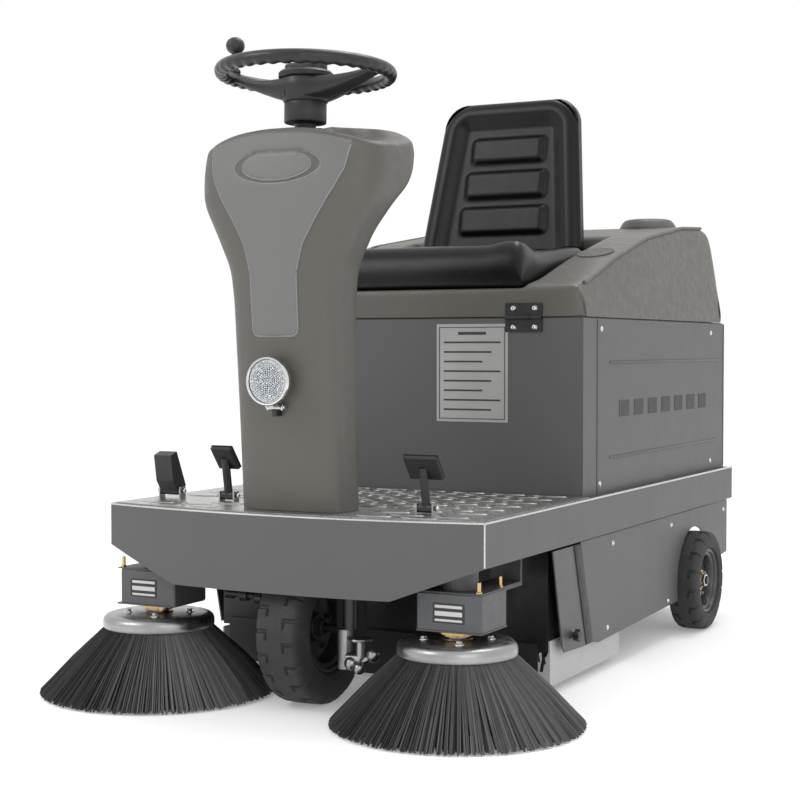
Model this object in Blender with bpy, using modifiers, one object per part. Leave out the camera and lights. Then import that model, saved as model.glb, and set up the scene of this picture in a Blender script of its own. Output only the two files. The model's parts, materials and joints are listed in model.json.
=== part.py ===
"""Ride-on sweeper: a three-wheeled battery machine with two side brushes, a main brush and a seat.

Metres, +Z up. The machine's front faces -Y and its left side is +X. The origin is on the floor,
under the centre of the whole machine. Depths named *_D are distances behind the deck's front corners.
"""

import math

import bmesh
import bpy
import numpy as np
from mathutils import Matrix, Vector

# Driving dimensions
DECK_HALF = 0.390
DECK_LENGTH = 1.490
DECK_TOP = 0.3584
DECK_SKIRT = 0.0768
DECK_FRONT_Y = -0.65775
APRON_BOW = 0.049
APRON_FLAT_HALF = 0.2255
APRON_BOTTOM = 0.2198
SHEET = 0.003
PLATE = 0.0035
GAP = 0.0004

BODY_HALF = 0.369
BODY_FRONT_D = 0.512
BODY_REAR_D = 1.485
BODY_TOP = 0.7134
CORNER_STRIP = 0.074
PANEL = 0.0025

HOOD_BASE = 0.7165
HOOD_WALL = 0.0035
SEAT_WELL_HALF = 0.243
SEAT_WELL_REAR_D = 0.996
SEAT_WELL_FLOOR = 0.775

FRONT_WHEEL_R = 0.140
FRONT_WHEEL_HALF = 0.044
FRONT_AXLE_D = 0.095
REAR_WHEEL_R = 0.114
REAR_WHEEL_X = 0.391
REAR_WHEEL_HALF = 0.036
REAR_AXLE_D = 1.190

SIDE_BRUSH_X = 0.3153
SIDE_BRUSH_D = 0.0500
SIDE_BRUSH_R = 0.2245
DISC_R = 0.1055
ARM_HINGE_D = 0.265
ARM_HINGE_Z = 0.318

MAIN_BRUSH_D = 0.540
MAIN_BRUSH_R = 0.118
MAIN_BRUSH_Z = 0.119

STEER_D = 0.072
STEER_Z = 1.152
STEER_R = 0.1535
STEER_GRIP_R = 0.0125
STEER_TILT = math.radians(1.8)
CHAIN_Z = 0.316
SMALL_SPROCKET_R = 0.0126
LARGE_SPROCKET_R = 0.0315

# name, x, distance behind the deck's corners, half width of the boss, height of the boss's axis
PEDALS = (("accelerator_pedal", -0.335, 0.122, 0.022, 0.0145), ("brake_pedal", -0.205, 0.125, 0.014, 0.0100),
          ("flap_pedal", 0.243, 0.075, 0.014, 0.0100))
FLOOR = DECK_TOP + SHEET + 2 * GAP

HEADLIGHT_Z = 0.596
HEADLIGHT_R = 0.0425

COLLECTION = bpy.data.collections.new("ride_on_sweeper")
CUTTERS = bpy.data.collections.new("cutters")


def depth(distance):
    """Y of a point this far behind the deck's front corners."""
    return DECK_FRONT_Y + distance


def bow(x):
    """How far the front apron stands ahead of its corners at this x."""
    return APRON_BOW * (1 - (x / DECK_HALF) ** 2)


def clear_scene():
    for obj in list(bpy.data.objects):
        bpy.data.objects.remove(obj)
    for collection in (COLLECTION, CUTTERS):
        bpy.context.scene.collection.children.link(collection)


def material(name, colour, roughness, metallic=0.0):
    made = bpy.data.materials.new(name)
    made.use_nodes = True
    shader = made.node_tree.nodes["Principled BSDF"]
    shader.inputs["Base Color"].default_value = (*colour, 1)
    shader.inputs["Roughness"].default_value = roughness
    shader.inputs["Metallic"].default_value = metallic
    made.diffuse_color = (*colour, 1)
    return made


def keep(obj, slot, parent=None):
    """Files the object as a part, gives it its material and hangs it on its pivot."""
    move_to(obj, COLLECTION)
    obj.data.materials.clear()
    obj.data.materials.append(slot)
    if parent:
        hang(obj, parent)
    return obj


def move_to(obj, collection):
    for old in list(obj.users_collection):
        old.objects.unlink(obj)
    collection.objects.link(obj)


def hang(obj, parent):
    obj.parent = parent
    obj.matrix_parent_inverse = parent_matrix(parent).inverted()


def parent_matrix(parent):
    bpy.context.view_layer.update()
    return parent.matrix_world


def pivot(name, location, parent=None):
    """An empty on a joint's axis."""
    empty = bpy.data.objects.new(name, None)
    empty.empty_display_size = 0.05
    COLLECTION.objects.link(empty)
    empty.location = location
    if parent:
        hang(empty, parent)
    return empty


def mesh_object(name, mesh):
    obj = bpy.data.objects.new(name, mesh)
    bpy.context.scene.collection.objects.link(obj)
    return obj


def from_bmesh(name, shape):
    mesh = bpy.data.meshes.new(name)
    bmesh.ops.recalc_face_normals(shape, faces=shape.faces)
    shape.to_mesh(mesh)
    shape.free()
    return mesh_object(name, mesh)


def bevel(obj, width, segments=2):
    """Rounds the sharp edges."""
    made = obj.modifiers.new("round", "BEVEL")
    made.width = width
    made.segments = segments
    made.limit_method = "ANGLE"
    made.angle_limit = math.radians(40)
    return obj


def box(name, low, high, radius=0.0, segments=2):
    low, high = Vector(low), Vector(high)
    shape = bmesh.new()
    bmesh.ops.create_cube(shape, size=1)
    bmesh.ops.scale(shape, vec=high - low, verts=shape.verts)
    obj = from_bmesh(name, shape)
    obj.location = (low + high) / 2
    return bevel(obj, radius, segments) if radius else obj


def rod(name, start, end, radius, sides=24):
    """A solid cylinder between two points."""
    start, end = Vector(start), Vector(end)
    shape = bmesh.new()
    bmesh.ops.create_cone(shape, cap_ends=True, segments=sides, radius1=radius, radius2=radius,
                          depth=(end - start).length)
    obj = from_bmesh(name, shape)
    obj.location = (start + end) / 2
    obj.rotation_euler = (end - start).to_track_quat("Z", "Y").to_euler()
    return obj


def turned(name, profile, base, axis=(0, 0, 1), steps=32, closed=False):
    """A profile of (radius, height) turned about an axis: it runs down the outer side, top to bottom."""
    mesh = bpy.data.meshes.new(name)
    points = [(radius, 0, height) for radius, height in profile]
    edges = [(i, i + 1) for i in range(len(points) - 1)]
    if closed:
        edges.append((len(points) - 1, 0))
    mesh.from_pydata(points, edges, [])
    obj = mesh_object(name, mesh)
    screw = obj.modifiers.new("turn", "SCREW")
    screw.steps = steps
    screw.render_steps = steps
    screw.use_merge_vertices = True
    screw.merge_threshold = 0.0001
    obj.location = base
    obj.rotation_euler = Vector(axis).to_track_quat("Z", "Y").to_euler()
    return obj


def prism(name, outline, low, high, turn=(0, 0, 0), origin=(0, 0, 0)):
    """A flat outline filled and extruded from low to high, then turned, as a closed mesh."""
    curve = bpy.data.curves.new(name, "CURVE")
    curve.dimensions = "2D"
    curve.fill_mode = "BOTH"
    curve.extrude = (high - low) / 2
    spline = curve.splines.new("POLY")
    spline.points.add(len(outline) - 1)
    for point, (u, v) in zip(spline.points, outline):
        point.co = (u, v, 0, 1)
    spline.use_cyclic_u = True
    drawn = bpy.data.objects.new(name, curve)
    bpy.context.scene.collection.objects.link(drawn)
    graph = bpy.context.evaluated_depsgraph_get()
    mesh = bpy.data.meshes.new_from_object(drawn.evaluated_get(graph))
    bpy.data.objects.remove(drawn)
    shape = bmesh.new()
    shape.from_mesh(mesh)
    bmesh.ops.remove_doubles(shape, verts=shape.verts, dist=1e-6)
    bmesh.ops.translate(shape, vec=(0, 0, (low + high) / 2), verts=shape.verts)
    obj = from_bmesh(name, shape)
    obj.rotation_euler = turn
    obj.location = origin
    return obj


SIDE_TURN = (math.pi / 2, 0, math.pi / 2)  # outline (y, z), thickness along x
FRONT_TURN = (math.pi / 2, 0, 0)  # outline (x, z), thickness along -y


def cutter(obj):
    move_to(obj, CUTTERS)
    obj.hide_render = True
    obj.display_type = "WIRE"
    return obj


def boolean(obj, other, operation):
    made = obj.modifiers.new(operation.lower(), "BOOLEAN")
    made.operation = operation
    made.solver = "EXACT"
    made.object = cutter(other)
    return obj


def cut(obj, *others):
    for other in others:
        boolean(obj, other, "DIFFERENCE")
    return obj


def join(obj, *others):
    for other in others:
        boolean(obj, other, "UNION")
    return obj


def wall(obj, thickness):
    """Gives an open surface its thickness, inwards."""
    made = obj.modifiers.new("wall", "SOLIDIFY")
    made.thickness = thickness
    made.offset = -1
    made.use_even_offset = True
    return obj


def smooth(obj, degrees=35):
    obj.data.shade_smooth()
    obj.data.set_sharp_from_angle(angle=math.radians(degrees))
    return obj


def grid_surface(name, columns, rows, place, wrap=False):
    """A grid whose points are placed by a function of their column and row."""
    shape = bmesh.new()
    bmesh.ops.create_grid(shape, x_segments=columns - 1, y_segments=rows - 1, size=1)
    for vert in shape.verts:
        column = round((vert.co.x + 1) / 2 * (columns - 1))
        row = round((vert.co.y + 1) / 2 * (rows - 1))
        vert.co = place(column, row)
    if wrap:
        bmesh.ops.remove_doubles(shape, verts=shape.verts, dist=1e-6)
    return from_bmesh(name, shape)


def mirrored(side):
    return "left" if side > 0 else "right"


# Deck and apron


def bowed_outline(half, front_inset, rear_d, steps=16):
    """Deck outline seen from above, with the bowed front edge."""
    front = [(x, depth(front_inset - bow(x))) for x in np.linspace(-half, half, steps + 1)]
    return front + [(half, depth(rear_d)), (-half, depth(rear_d))]


def steer_axis():
    return Vector((0, math.sin(STEER_TILT), math.cos(STEER_TILT)))


def steer_point(height):
    """The point of the steering shaft's axis at this height."""
    return Vector((0, depth(STEER_D) - (STEER_Z - height) * math.tan(STEER_TILT), height))


def steering_hole():
    """Clearance in the deck round the steering shaft."""
    return rod("steering_hole", steer_point(0.30), steer_point(0.40), 0.016)


def deck_frame(paint):
    bottom = DECK_TOP - DECK_SKIRT
    frame = prism("deck_frame", bowed_outline(DECK_HALF, SHEET + GAP, DECK_LENGTH), bottom, DECK_TOP)
    hollow = box("deck_hollow", (-DECK_HALF + SHEET, depth(-0.2), 0.1),
                 (DECK_HALF - SHEET, depth(DECK_LENGTH - SHEET), DECK_TOP - PLATE))
    suction = box("suction_opening", (-0.20, depth(1.00), 0.3), (0.20, depth(1.34), 0.4))
    cut(frame, hollow, suction, steering_hole())
    return keep(frame, paint)


def front_apron(paint):
    """The bowed plate that closes the deck in front, with its lower corners cut off."""
    side = list(np.linspace(APRON_FLAT_HALF, DECK_HALF, 4)[1:])
    middle = list(np.linspace(-APRON_FLAT_HALF, APRON_FLAT_HALF, 11))
    stations = [-x for x in reversed(side)] + middle + side
    corner = DECK_TOP - DECK_SKIRT

    def place(column, row):
        x = stations[column]
        slope = max(0, abs(x) - APRON_FLAT_HALF) / (DECK_HALF - APRON_FLAT_HALF)
        low = APRON_BOTTOM + slope * (corner - APRON_BOTTOM)
        return x, depth(-bow(x)), DECK_TOP if row else low

    apron = grid_surface("front_apron", len(stations), 2, place)
    wall(apron, SHEET)
    apron.modifiers["wall"].offset = 1 if apron.data.polygons[0].normal.y > 0 else -1
    return keep(apron, paint)


def tread_plate(aluminium):
    outline = bowed_outline(0.384, 0.012, BODY_FRONT_D - 0.004)
    plate = prism("tread_plate", outline, DECK_TOP + GAP, DECK_TOP + GAP + SHEET)
    cut(plate, steering_hole())
    for name, x, distance, half, rise in PEDALS:
        pedal_ears(plate, x, depth(distance), half, rise)
    return keep(plate, aluminium)


def pedal_ears(plate, x, y, half, rise):
    """Two upright ears that carry a pedal's pin."""
    for side in (1, -1):
        inner, outer = sorted((x + side * (half + 0.0006), x + side * (half + 0.0036)))
        join(plate, box("pedal_ear", (inner, y - 0.009, DECK_TOP + 2 * GAP), (outer, y + 0.009, FLOOR + rise + 0.008)))
    cut(plate, rod("pin_bore", (x - half - 0.006, y, FLOOR + rise), (x + half + 0.006, y, FLOOR + rise), 0.0046, 16))


# Lower sides and brush housing

SIDE_PLATE_X = 0.3825
SIDE_PLATE_TOP = 0.2790


def side_outline(front):
    rear_top = [(depth(1.462), SIDE_PLATE_TOP), (depth(1.462), 0.150)]
    arch = [(depth(REAR_AXLE_D) + 0.124 * math.cos(a), REAR_WHEEL_R + 0.124 * math.sin(a))
            for a in np.linspace(math.radians(12), math.radians(196), 14)]
    return front + [(depth(0.556), 0.068)] + list(reversed(arch)) + list(reversed(rear_top))


def side_plates(paint):
    """The left plate starts behind the brush door; the right one closes the whole side."""
    left_front = [(depth(0.4585), SIDE_PLATE_TOP), (depth(0.528), 0.0740)]
    right_front = [(depth(0.317), SIDE_PLATE_TOP), (depth(0.367), 0.0800)]
    left = prism("side_plate_left", side_outline(left_front), SIDE_PLATE_X, SIDE_PLATE_X + SHEET, SIDE_TURN)
    right = prism("side_plate_right", side_outline(right_front), -SIDE_PLATE_X - SHEET, -SIDE_PLATE_X,
                  SIDE_TURN)
    return keep(left, paint), keep(right, paint)


def brush_door(paint, knob_plastic):
    """Narrow access door over the main brush's end, hinged under the deck, with its star knob."""
    hinge = pivot("brush_door_pivot", (SIDE_PLATE_X + SHEET / 2, depth(0.37), 0.2760))
    outline = [(depth(0.4565), 0.2760), (depth(0.317), 0.2760), (depth(0.366), 0.0900),
               (depth(0.376), 0.0780), (depth(0.4660), 0.0740), (depth(0.524), 0.0740)]
    door = prism("brush_door_left", outline, SIDE_PLATE_X, SIDE_PLATE_X + SHEET, SIDE_TURN)
    keep(door, paint, hinge)
    centre = (SIDE_PLATE_X + SHEET + GAP, depth(0.405), 0.1070)
    turn = pivot("door_knob_pivot", centre, hinge)
    profile = [(0, 0.020), (0.0115, 0.020), (0.0130, 0.018), (0.0130, 0.010), (0.0065, 0.006), (0.0065, 0),
               (0, 0)]
    knob = turned("door_knob_left", profile, centre, (1, 0, 0), steps=20)
    return keep(smooth(knob), knob_plastic, turn)


HOUSING_FRONT_D = 0.345
HOUSING_REAR_D = 0.735
HOUSING_HALF = 0.364
HOUSING_TOP = 0.2720
HOUSING_BOTTOM = 0.0800


def brush_housing(steel):
    """Box open below, with the slot through which dirt is thrown back into the hopper."""
    housing = box("brush_housing", (-HOUSING_HALF, depth(HOUSING_FRONT_D), HOUSING_BOTTOM),
                  (HOUSING_HALF, depth(HOUSING_REAR_D), HOUSING_TOP))
    hollow = box("housing_hollow", (-HOUSING_HALF + SHEET, depth(HOUSING_FRONT_D + SHEET), 0),
                 (HOUSING_HALF - SHEET, depth(HOUSING_REAR_D - SHEET), HOUSING_TOP - SHEET))
    slot = box("dirt_slot", (-0.26, depth(0.70), 0), (0.26, depth(0.76), 0.200))
    shaft = rod("brush_shaft_hole", (-0.4, depth(MAIN_BRUSH_D), MAIN_BRUSH_Z),
                (0.4, depth(MAIN_BRUSH_D), MAIN_BRUSH_Z), 0.016)
    return keep(cut(housing, hollow, slot, shaft), steel)


def dust_skirts(rubber):
    for side in (1, -1):
        x = sorted((side * (HOUSING_HALF + GAP), side * (HOUSING_HALF + GAP + SHEET)))
        top = 0.1020 if side > 0 else 0.0730
        skirt = box(f"dust_skirt_{mirrored(side)}", (x[0], depth(0.347), 0.0150), (x[1], depth(0.728), top))
        keep(skirt, rubber)


def front_flap(rubber):
    """Rubber flap in front of the main brush; the third pedal swings it forward for bulky litter."""
    hinge = pivot("front_flap_pivot", (0, depth(0.3410), 0.0960))
    flap = box("front_flap", (-0.345, depth(0.3390), 0.0080), (0.345, depth(0.3430), 0.0960))
    return keep(flap, rubber, hinge)


def main_brush(bristle, steel, rubber, motor_paint):
    """Cylindrical brush across the machine, driven at its right end by a motor and a belt."""
    axle = (0, depth(MAIN_BRUSH_D), MAIN_BRUSH_Z)
    spin = pivot("main_brush_pivot", axle)
    half = 0.356
    brush = turned("main_brush", [(0, half), (0.0140, half), (0.0140, 0.352), (MAIN_BRUSH_R, 0.352),
                                  (MAIN_BRUSH_R, -0.352), (0.0140, -0.352), (0.0140, -0.3670),
                                  (0.0440, -0.3680), (0.0440, -0.3700), (0.0410, -0.3710),
                                  (0.0410, -0.3770), (0.0440, -0.3780), (0.0440, -0.3800), (0, -0.3800)],
                   axle, (1, 0, 0), steps=36)
    keep(smooth(brush), bristle, spin)
    centre = (0, depth(0.630), 0.3140)
    turn = pivot("motor_pulley_pivot", centre)
    pulley = turned("motor_pulley", [(0, -0.3640), (0.0060, -0.3640), (0.0060, -0.3680), (0.0170, -0.3680),
                                     (0.0170, -0.3700), (0.0150, -0.3710), (0.0150, -0.3770),
                                     (0.0170, -0.3780), (0.0170, -0.3800), (0, -0.3800)],
                    centre, (1, 0, 0), steps=24)
    keep(smooth(pulley), steel, turn)
    motor = turned("brush_motor", [(0, -0.2000), (0.0300, -0.2000), (0.0360, -0.2060), (0.0360, -0.3500),
                                   (0.0300, -0.3560), (0.0120, -0.3560), (0.0120, -0.3630), (0, -0.3630)],
                   centre, (1, 0, 0), steps=28)
    keep(smooth(motor), motor_paint)
    belt_loop("drive_belt", axle, 0.0410, centre, 0.0150, -0.3712, -0.3768, rubber)


def belt_loop(name, first, first_r, second, second_r, low_x, high_x, rubber):
    """A belt round two pulleys whose axes run along x."""
    outer = loop_outline(first[1:], first_r + 0.0035, second[1:], second_r + 0.0035, 20)
    inner = loop_outline(first[1:], first_r + 0.0009, second[1:], second_r + 0.0009, 20)
    low, high = sorted((low_x, high_x))
    belt = prism(name, outer, low, high, SIDE_TURN)
    hollow = prism(name + "_inside", inner, low - 0.01, high + 0.01, SIDE_TURN)
    return keep(cut(belt, hollow), rubber)


def loop_outline(first, first_r, second, second_r, steps=12):
    """The outline of a taut band round two circles."""
    first, second = Vector(first), Vector(second)
    apart = second - first
    lean = math.atan2(apart.y, apart.x)
    wrap = math.acos((first_r - second_r) / apart.length)
    points = []
    for centre, radius, start, end in ((second, second_r, -wrap, wrap),
                                       (first, first_r, wrap, 2 * math.pi - wrap)):
        for angle in np.linspace(lean + start, lean + end, steps):
            points.append((centre.x + radius * math.cos(angle), centre.y + radius * math.sin(angle)))
    return points


# Body


def body_frame(steel):
    """The twelve edges of a box, as one welded frame of square tube."""
    low = Vector((-0.362, depth(0.520), DECK_TOP + GAP))
    high = Vector((0.362, depth(1.478), 0.7100))
    member = 0.025
    frame = box("body_frame", low, high)
    for index, axis in enumerate("xyz"):
        inside_low = low + Vector((member, member, member))
        inside_high = high - Vector((member, member, member))
        inside_low[index] -= 2 * member
        inside_high[index] += 2 * member
        cut(frame, box(f"frame_window_{axis}", inside_low, inside_high))
    return keep(frame, steel)


def body_panels(paint):
    front_d = BODY_FRONT_D
    panel = box("front_panel", (-BODY_HALF, depth(front_d), DECK_TOP + GAP),
                (BODY_HALF, depth(front_d + CORNER_STRIP), BODY_TOP))
    inside = box("front_panel_inside", (-BODY_HALF + PANEL, depth(front_d + PANEL), 0.3),
                 (BODY_HALF - PANEL, depth(0.7), 0.8))
    keep(cut(panel, inside), paint)
    for side in (1, -1):
        x = sorted((side * (BODY_HALF - PANEL), side * BODY_HALF))
        cover = box(f"side_cover_{mirrored(side)}",
                    (x[0], depth(front_d + CORNER_STRIP + 0.0015), DECK_TOP + GAP),
                    (x[1], depth(BODY_REAR_D), BODY_TOP))
        keep(cover, paint)
    rear = box("rear_panel", (-BODY_HALF + PANEL + GAP, depth(BODY_REAR_D - PANEL), DECK_TOP + GAP),
               (BODY_HALF - PANEL - GAP, depth(BODY_REAR_D), BODY_TOP))
    return keep(rear, paint)


def machinery(case, motor_paint):
    battery = box("battery_pack", (-0.27, depth(0.560), DECK_TOP + GAP), (0.27, depth(0.940), 0.600), 0.006, 1)
    keep(battery, case)
    base = DECK_TOP + GAP
    fan = box("vacuum_fan", (-0.23, depth(0.970), base), (0.23, depth(1.370), base + 0.060))
    drum = turned("fan_drum", [(0, 0.170), (0.085, 0.170), (0.115, 0.150), (0.115, 0.100), (0.090, 0.030),
                               (0, 0.030)], (0, depth(1.170), base), steps=28)
    outlet = rod("fan_outlet", (0.06, depth(1.17), base + 0.125), (0.20, depth(1.17), base + 0.125), 0.030, 20)
    return keep(join(fan, drum, outlet), motor_paint)


# Hood and seat

CREASE = ((0.512, 0.781), (0.578, 0.791), (0.749, 0.845), (0.968, 0.900), (1.247, 0.941), (1.400, 0.950),
          (1.450, 0.942), (1.474, 0.915), (1.484, 0.860))


def crease_height(distance):
    depths, heights = zip(*CREASE)
    return float(np.interp(distance, depths, heights))


def hood_half(distance):
    """Half width of the hood's top at its side crease."""
    return float(np.interp(distance, (0.512, 1.247, 1.484), (0.358, 0.338, 0.340)))


def hood(plastic):
    """Moulded cover with the seat well in its front, hinged along its front edge."""
    hinge = pivot("hood_pivot", (0, depth(BODY_FRONT_D) - 0.0045, 0.7150))
    across = [0, 0.5 * SEAT_WELL_HALF, SEAT_WELL_HALF - 0.004, SEAT_WELL_HALF, 0.285, 0.325, 1, 2]
    along = [1, 0.520, 0.545, 0.600, 0.670, 0.749, 0.850, SEAT_WELL_REAR_D, SEAT_WELL_REAR_D + 0.004,
             1.100, 1.247, 1.400, 1.450, 1.474, 1.484, 2]
    columns = 2 * len(across) - 1

    def place(column, row):
        side = column - (len(across) - 1)
        step = across[abs(side)]
        edge = across.index(1)
        outside = abs(side) > edge or row in (0, len(along) - 1)
        distance = along[min(max(row, 1), len(along) - 2)]
        half = hood_half(distance)
        x = math.copysign(half if abs(side) >= edge else min(step, half - 0.012), side)
        if outside:
            x = math.copysign(min(abs(x) * BODY_HALF / half, BODY_HALF), side)
            flare = {0: BODY_FRONT_D, len(along) - 1: BODY_REAR_D}
            return x, depth(flare.get(row, distance)), HOOD_BASE
        height = crease_height(distance)
        if abs(side) >= edge:
            height -= 0.012
        if abs(x) < SEAT_WELL_HALF - 0.001 and distance < SEAT_WELL_REAR_D + 0.001:
            height = SEAT_WELL_FLOOR
        return x, depth(distance), height

    shell = grid_surface("hood", columns, len(along), place)
    wall(shell, HOOD_WALL)
    join(shell, turned("round_boss", [(0, 0.022), (0.056, 0.022), (0.064, 0.016), (0.067, -0.006), (0, -0.006)],
                       (0.236, depth(1.290), 0.9420), steps=32))
    keep(shell, plastic, hinge)
    return hinge


def seat(vinyl, hinge):
    cushion = box("seat_cushion", (-0.235, depth(0.5170), SEAT_WELL_FLOOR + 0.0008), (0.235, depth(0.9180), 0.8660),
                  0.022, 3)
    keep(cushion, vinyl, hinge)
    outline = [(-0.190, 0), (0.190, 0), (0.163, 0.318), (0.156, 0.336), (0.143, 0.350), (0.125, 0.355)]
    outline += [(-x, z) for x, z in reversed(outline[2:])]
    back = prism("seat_back", outline, -0.0440, 0, (math.pi / 2 - math.radians(11.9), 0, 0),
                 (0, depth(0.9250), 0.8820))
    bevel(back, 0.012, 2)
    return keep(back, vinyl, hinge)


def hood_hinges(steel, hinge):
    """Two leaf hinges on the front edge: lower leaves on the panel, upper leaves on the hood."""
    axis_z = 0.7150
    front = depth(BODY_FRONT_D)
    for side in (1, -1):
        low_x, high_x = sorted((side * 0.203, side * 0.283))
        third = (high_x - low_x) / 3
        barrel_y = front - 0.0045
        lower = box(f"hinge_lower_{mirrored(side)}", (low_x, front - GAP - 0.0022, 0.6860),
                    (high_x, front - GAP, axis_z - 0.0050))
        for start in (low_x, high_x - third + 0.0006):
            knuckle = rod("lower_knuckle", (start, barrel_y, axis_z), (start + third - 0.0006, barrel_y, axis_z),
                          0.0040, 16)
            web = box("lower_web", (start, front - 0.0024, axis_z - 0.0060),
                      (start + third - 0.0006, front - 0.0008, axis_z))
            join(lower, web, knuckle)
        keep(lower, steel)
        upper = box(f"hinge_upper_{mirrored(side)}", (low_x, front - GAP - 0.0022, axis_z + 0.0055),
                    (high_x, front - GAP, 0.7440))
        knuckle = rod("upper_knuckle", (low_x + third + 0.0003, barrel_y, axis_z),
                      (high_x - third - 0.0003, barrel_y, axis_z), 0.0040, 16)
        web = box("upper_web", (low_x + third + 0.0003, front - 0.0024, axis_z),
                  (high_x - third - 0.0003, front - 0.0008, axis_z + 0.0065))
        keep(join(upper, web, knuckle), steel, hinge)


# Steering column

# height, half width, front, rear, bulge of the front face, rise of the middle
COLUMN = ((0.3625, 0.106, 0.004, 0.098, 0.000, 0), (0.450, 0.106, -0.002, 0.096, 0.006, 0),
          (0.600, 0.106, -0.014, 0.093, 0.016, 0), (0.740, 0.107, -0.026, 0.092, 0.016, 0),
          (0.795, 0.113, -0.028, 0.090, 0.018, 0), (0.860, 0.145, -0.026, 0.088, 0.020, 0),
          (0.915, 0.176, -0.026, 0.114, 0.022, 0), (0.955, 0.185, -0.022, 0.174, 0.024, 0.006),
          (0.990, 0.187, -0.016, 0.186, 0.024, 0.018), (1.008, 0.184, -0.012, 0.182, 0.024, 0.032))
COLUMN_DOME = ((0.985, 0.007), (0.94, 0.012), (0.70, 0.016), (0.25, 0.018))
COLUMN_CORNER = 0.42
COLUMN_WALL = 0.005


def column_point(section, angle):
    """A point of one level of the cover: a rounded rectangle whose front face bulges."""
    height, half, front, rear, bulge, rise = section
    across, along = math.cos(angle), math.sin(angle)
    x = half * math.copysign(abs(across) ** COLUMN_CORNER, across)
    y = (rear + front) / 2 + (rear - front) / 2 * math.copysign(abs(along) ** COLUMN_CORNER, along)
    middle = 1 - (x / half) ** 2
    if along < 0:
        y -= bulge * middle * min(1, abs(along) * 1.5)
    return x, y, height + rise * middle


def column_level(level, angle, inset):
    """A point of the cover's surface, moved in by the inset: the walls first, then the domed top."""
    top = COLUMN[-1]
    height, half, front, rear, bulge, rise = COLUMN[min(level, len(COLUMN) - 1)]
    shrink, raised = (1, 0) if level < len(COLUMN) else COLUMN_DOME[level - len(COLUMN)]
    drop = inset if level >= len(COLUMN) - 1 else 0
    section = (height - drop, half - inset, front + inset, rear - inset, bulge, rise)
    x, distance, z = column_point(section, angle)
    middle = (top[2] + top[3]) / 2
    return x * shrink, depth(middle + (distance - middle) * shrink), z + raised


def column_cover(plastic):
    """Thin moulded shell, open below, round the steering support."""
    around = 33
    levels = len(COLUMN) + len(COLUMN_DOME)

    def place(column, row):
        angle = 2 * math.pi * (column % (around - 1)) / (around - 1)
        if row < levels:
            return column_level(levels - 1 - row, angle, COLUMN_WALL)
        return column_level(row - levels, angle, 0)

    cover = grid_surface("column_cover", around, 2 * levels, place, wrap=True)
    shape = bmesh.new()
    shape.from_mesh(cover.data)
    bmesh.ops.holes_fill(shape, edges=shape.edges)
    bmesh.ops.recalc_face_normals(shape, faces=shape.faces)
    shape.to_mesh(cover.data)
    shape.free()
    shaft = rod("column_shaft_hole", steer_point(0.98), steer_point(1.10), 0.022)
    window = dashboard_box("dashboard_window", GAP, 0.06)
    cut(cover, shaft, window)
    return keep(smooth(cover), plastic)


DASH_TILT = -math.radians(42)
DASH_CENTRE = (0, depth(0.166), 1.0235)


def dashboard_box(name, margin, above=0.0):
    """The dashboard's block, whose face is at DASH_CENTRE, or a larger one that cuts its window."""
    below = 0.016 + margin
    panel = box(name, (-0.085 - margin, -0.030 - margin, -below), (0.085 + margin, 0.030 + margin, above))
    panel.location = Vector(DASH_CENTRE) + dash_normal() * (above - below) / 2
    panel.rotation_euler = (DASH_TILT, 0, 0)
    return panel


def dash_normal():
    return Matrix.Rotation(DASH_TILT, 3, "X") @ Vector((0, 0, 1))


def dashboard(plastic, red, steel):
    """Panel facing the driver, with the key switch and the emergency stop."""
    slope = Matrix.Rotation(DASH_TILT, 3, "X")
    stop_foot = Vector(DASH_CENTRE) + slope @ Vector((-0.050, 0, 0))
    well = rod("emergency_stop_well", stop_foot - dash_normal() * 0.0120, stop_foot + dash_normal() * 0.010, 0.0088, 24)
    keep(cut(dashboard_box("dashboard", 0), well), plastic)
    for name, x, profile, slot in (
            ("emergency_stop", -0.050, [(0, 0.016), (0.010, 0.016), (0.015, 0.012), (0.015, 0.0075),
                                       (0.008, 0.0066), (0.008, -0.0055), (0, -0.0055)], red),
            ("key_switch", 0.050, [(0, 0.012), (0.0030, 0.012), (0.0095, 0.0060), (0.0110, 0.0040),
                                   (0.0110, 0), (0, 0)], steel)):
        face = Vector(DASH_CENTRE) + slope @ Vector((x, 0, 0.0004))
        turn = pivot(name + "_pivot", face)
        keep(smooth(turned(name, profile, face, dash_normal(), steps=20)), slot, turn)


def steering_support(steel):
    """Bearing tube of the steering shaft, held between two posts that stand on the deck."""
    support = rod("steering_support", steer_point(0.700), steer_point(1.020), 0.0165)
    foot_z = DECK_TOP + GAP + SHEET + GAP
    foot = box("steering_foot", (-0.045, depth(0.018), foot_z), (0.045, depth(0.078), foot_z + 0.006))
    join(support, foot)
    for side in (1, -1):
        x = sorted((side * 0.0130, side * 0.0185))
        join(support, box("steering_post", (x[0], depth(0.040), foot_z), (x[1], depth(0.064), 0.980)))
    bore = rod("steering_bore", steer_point(0.350), steer_point(1.050), 0.0120)
    return keep(cut(support, bore), steel)


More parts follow.
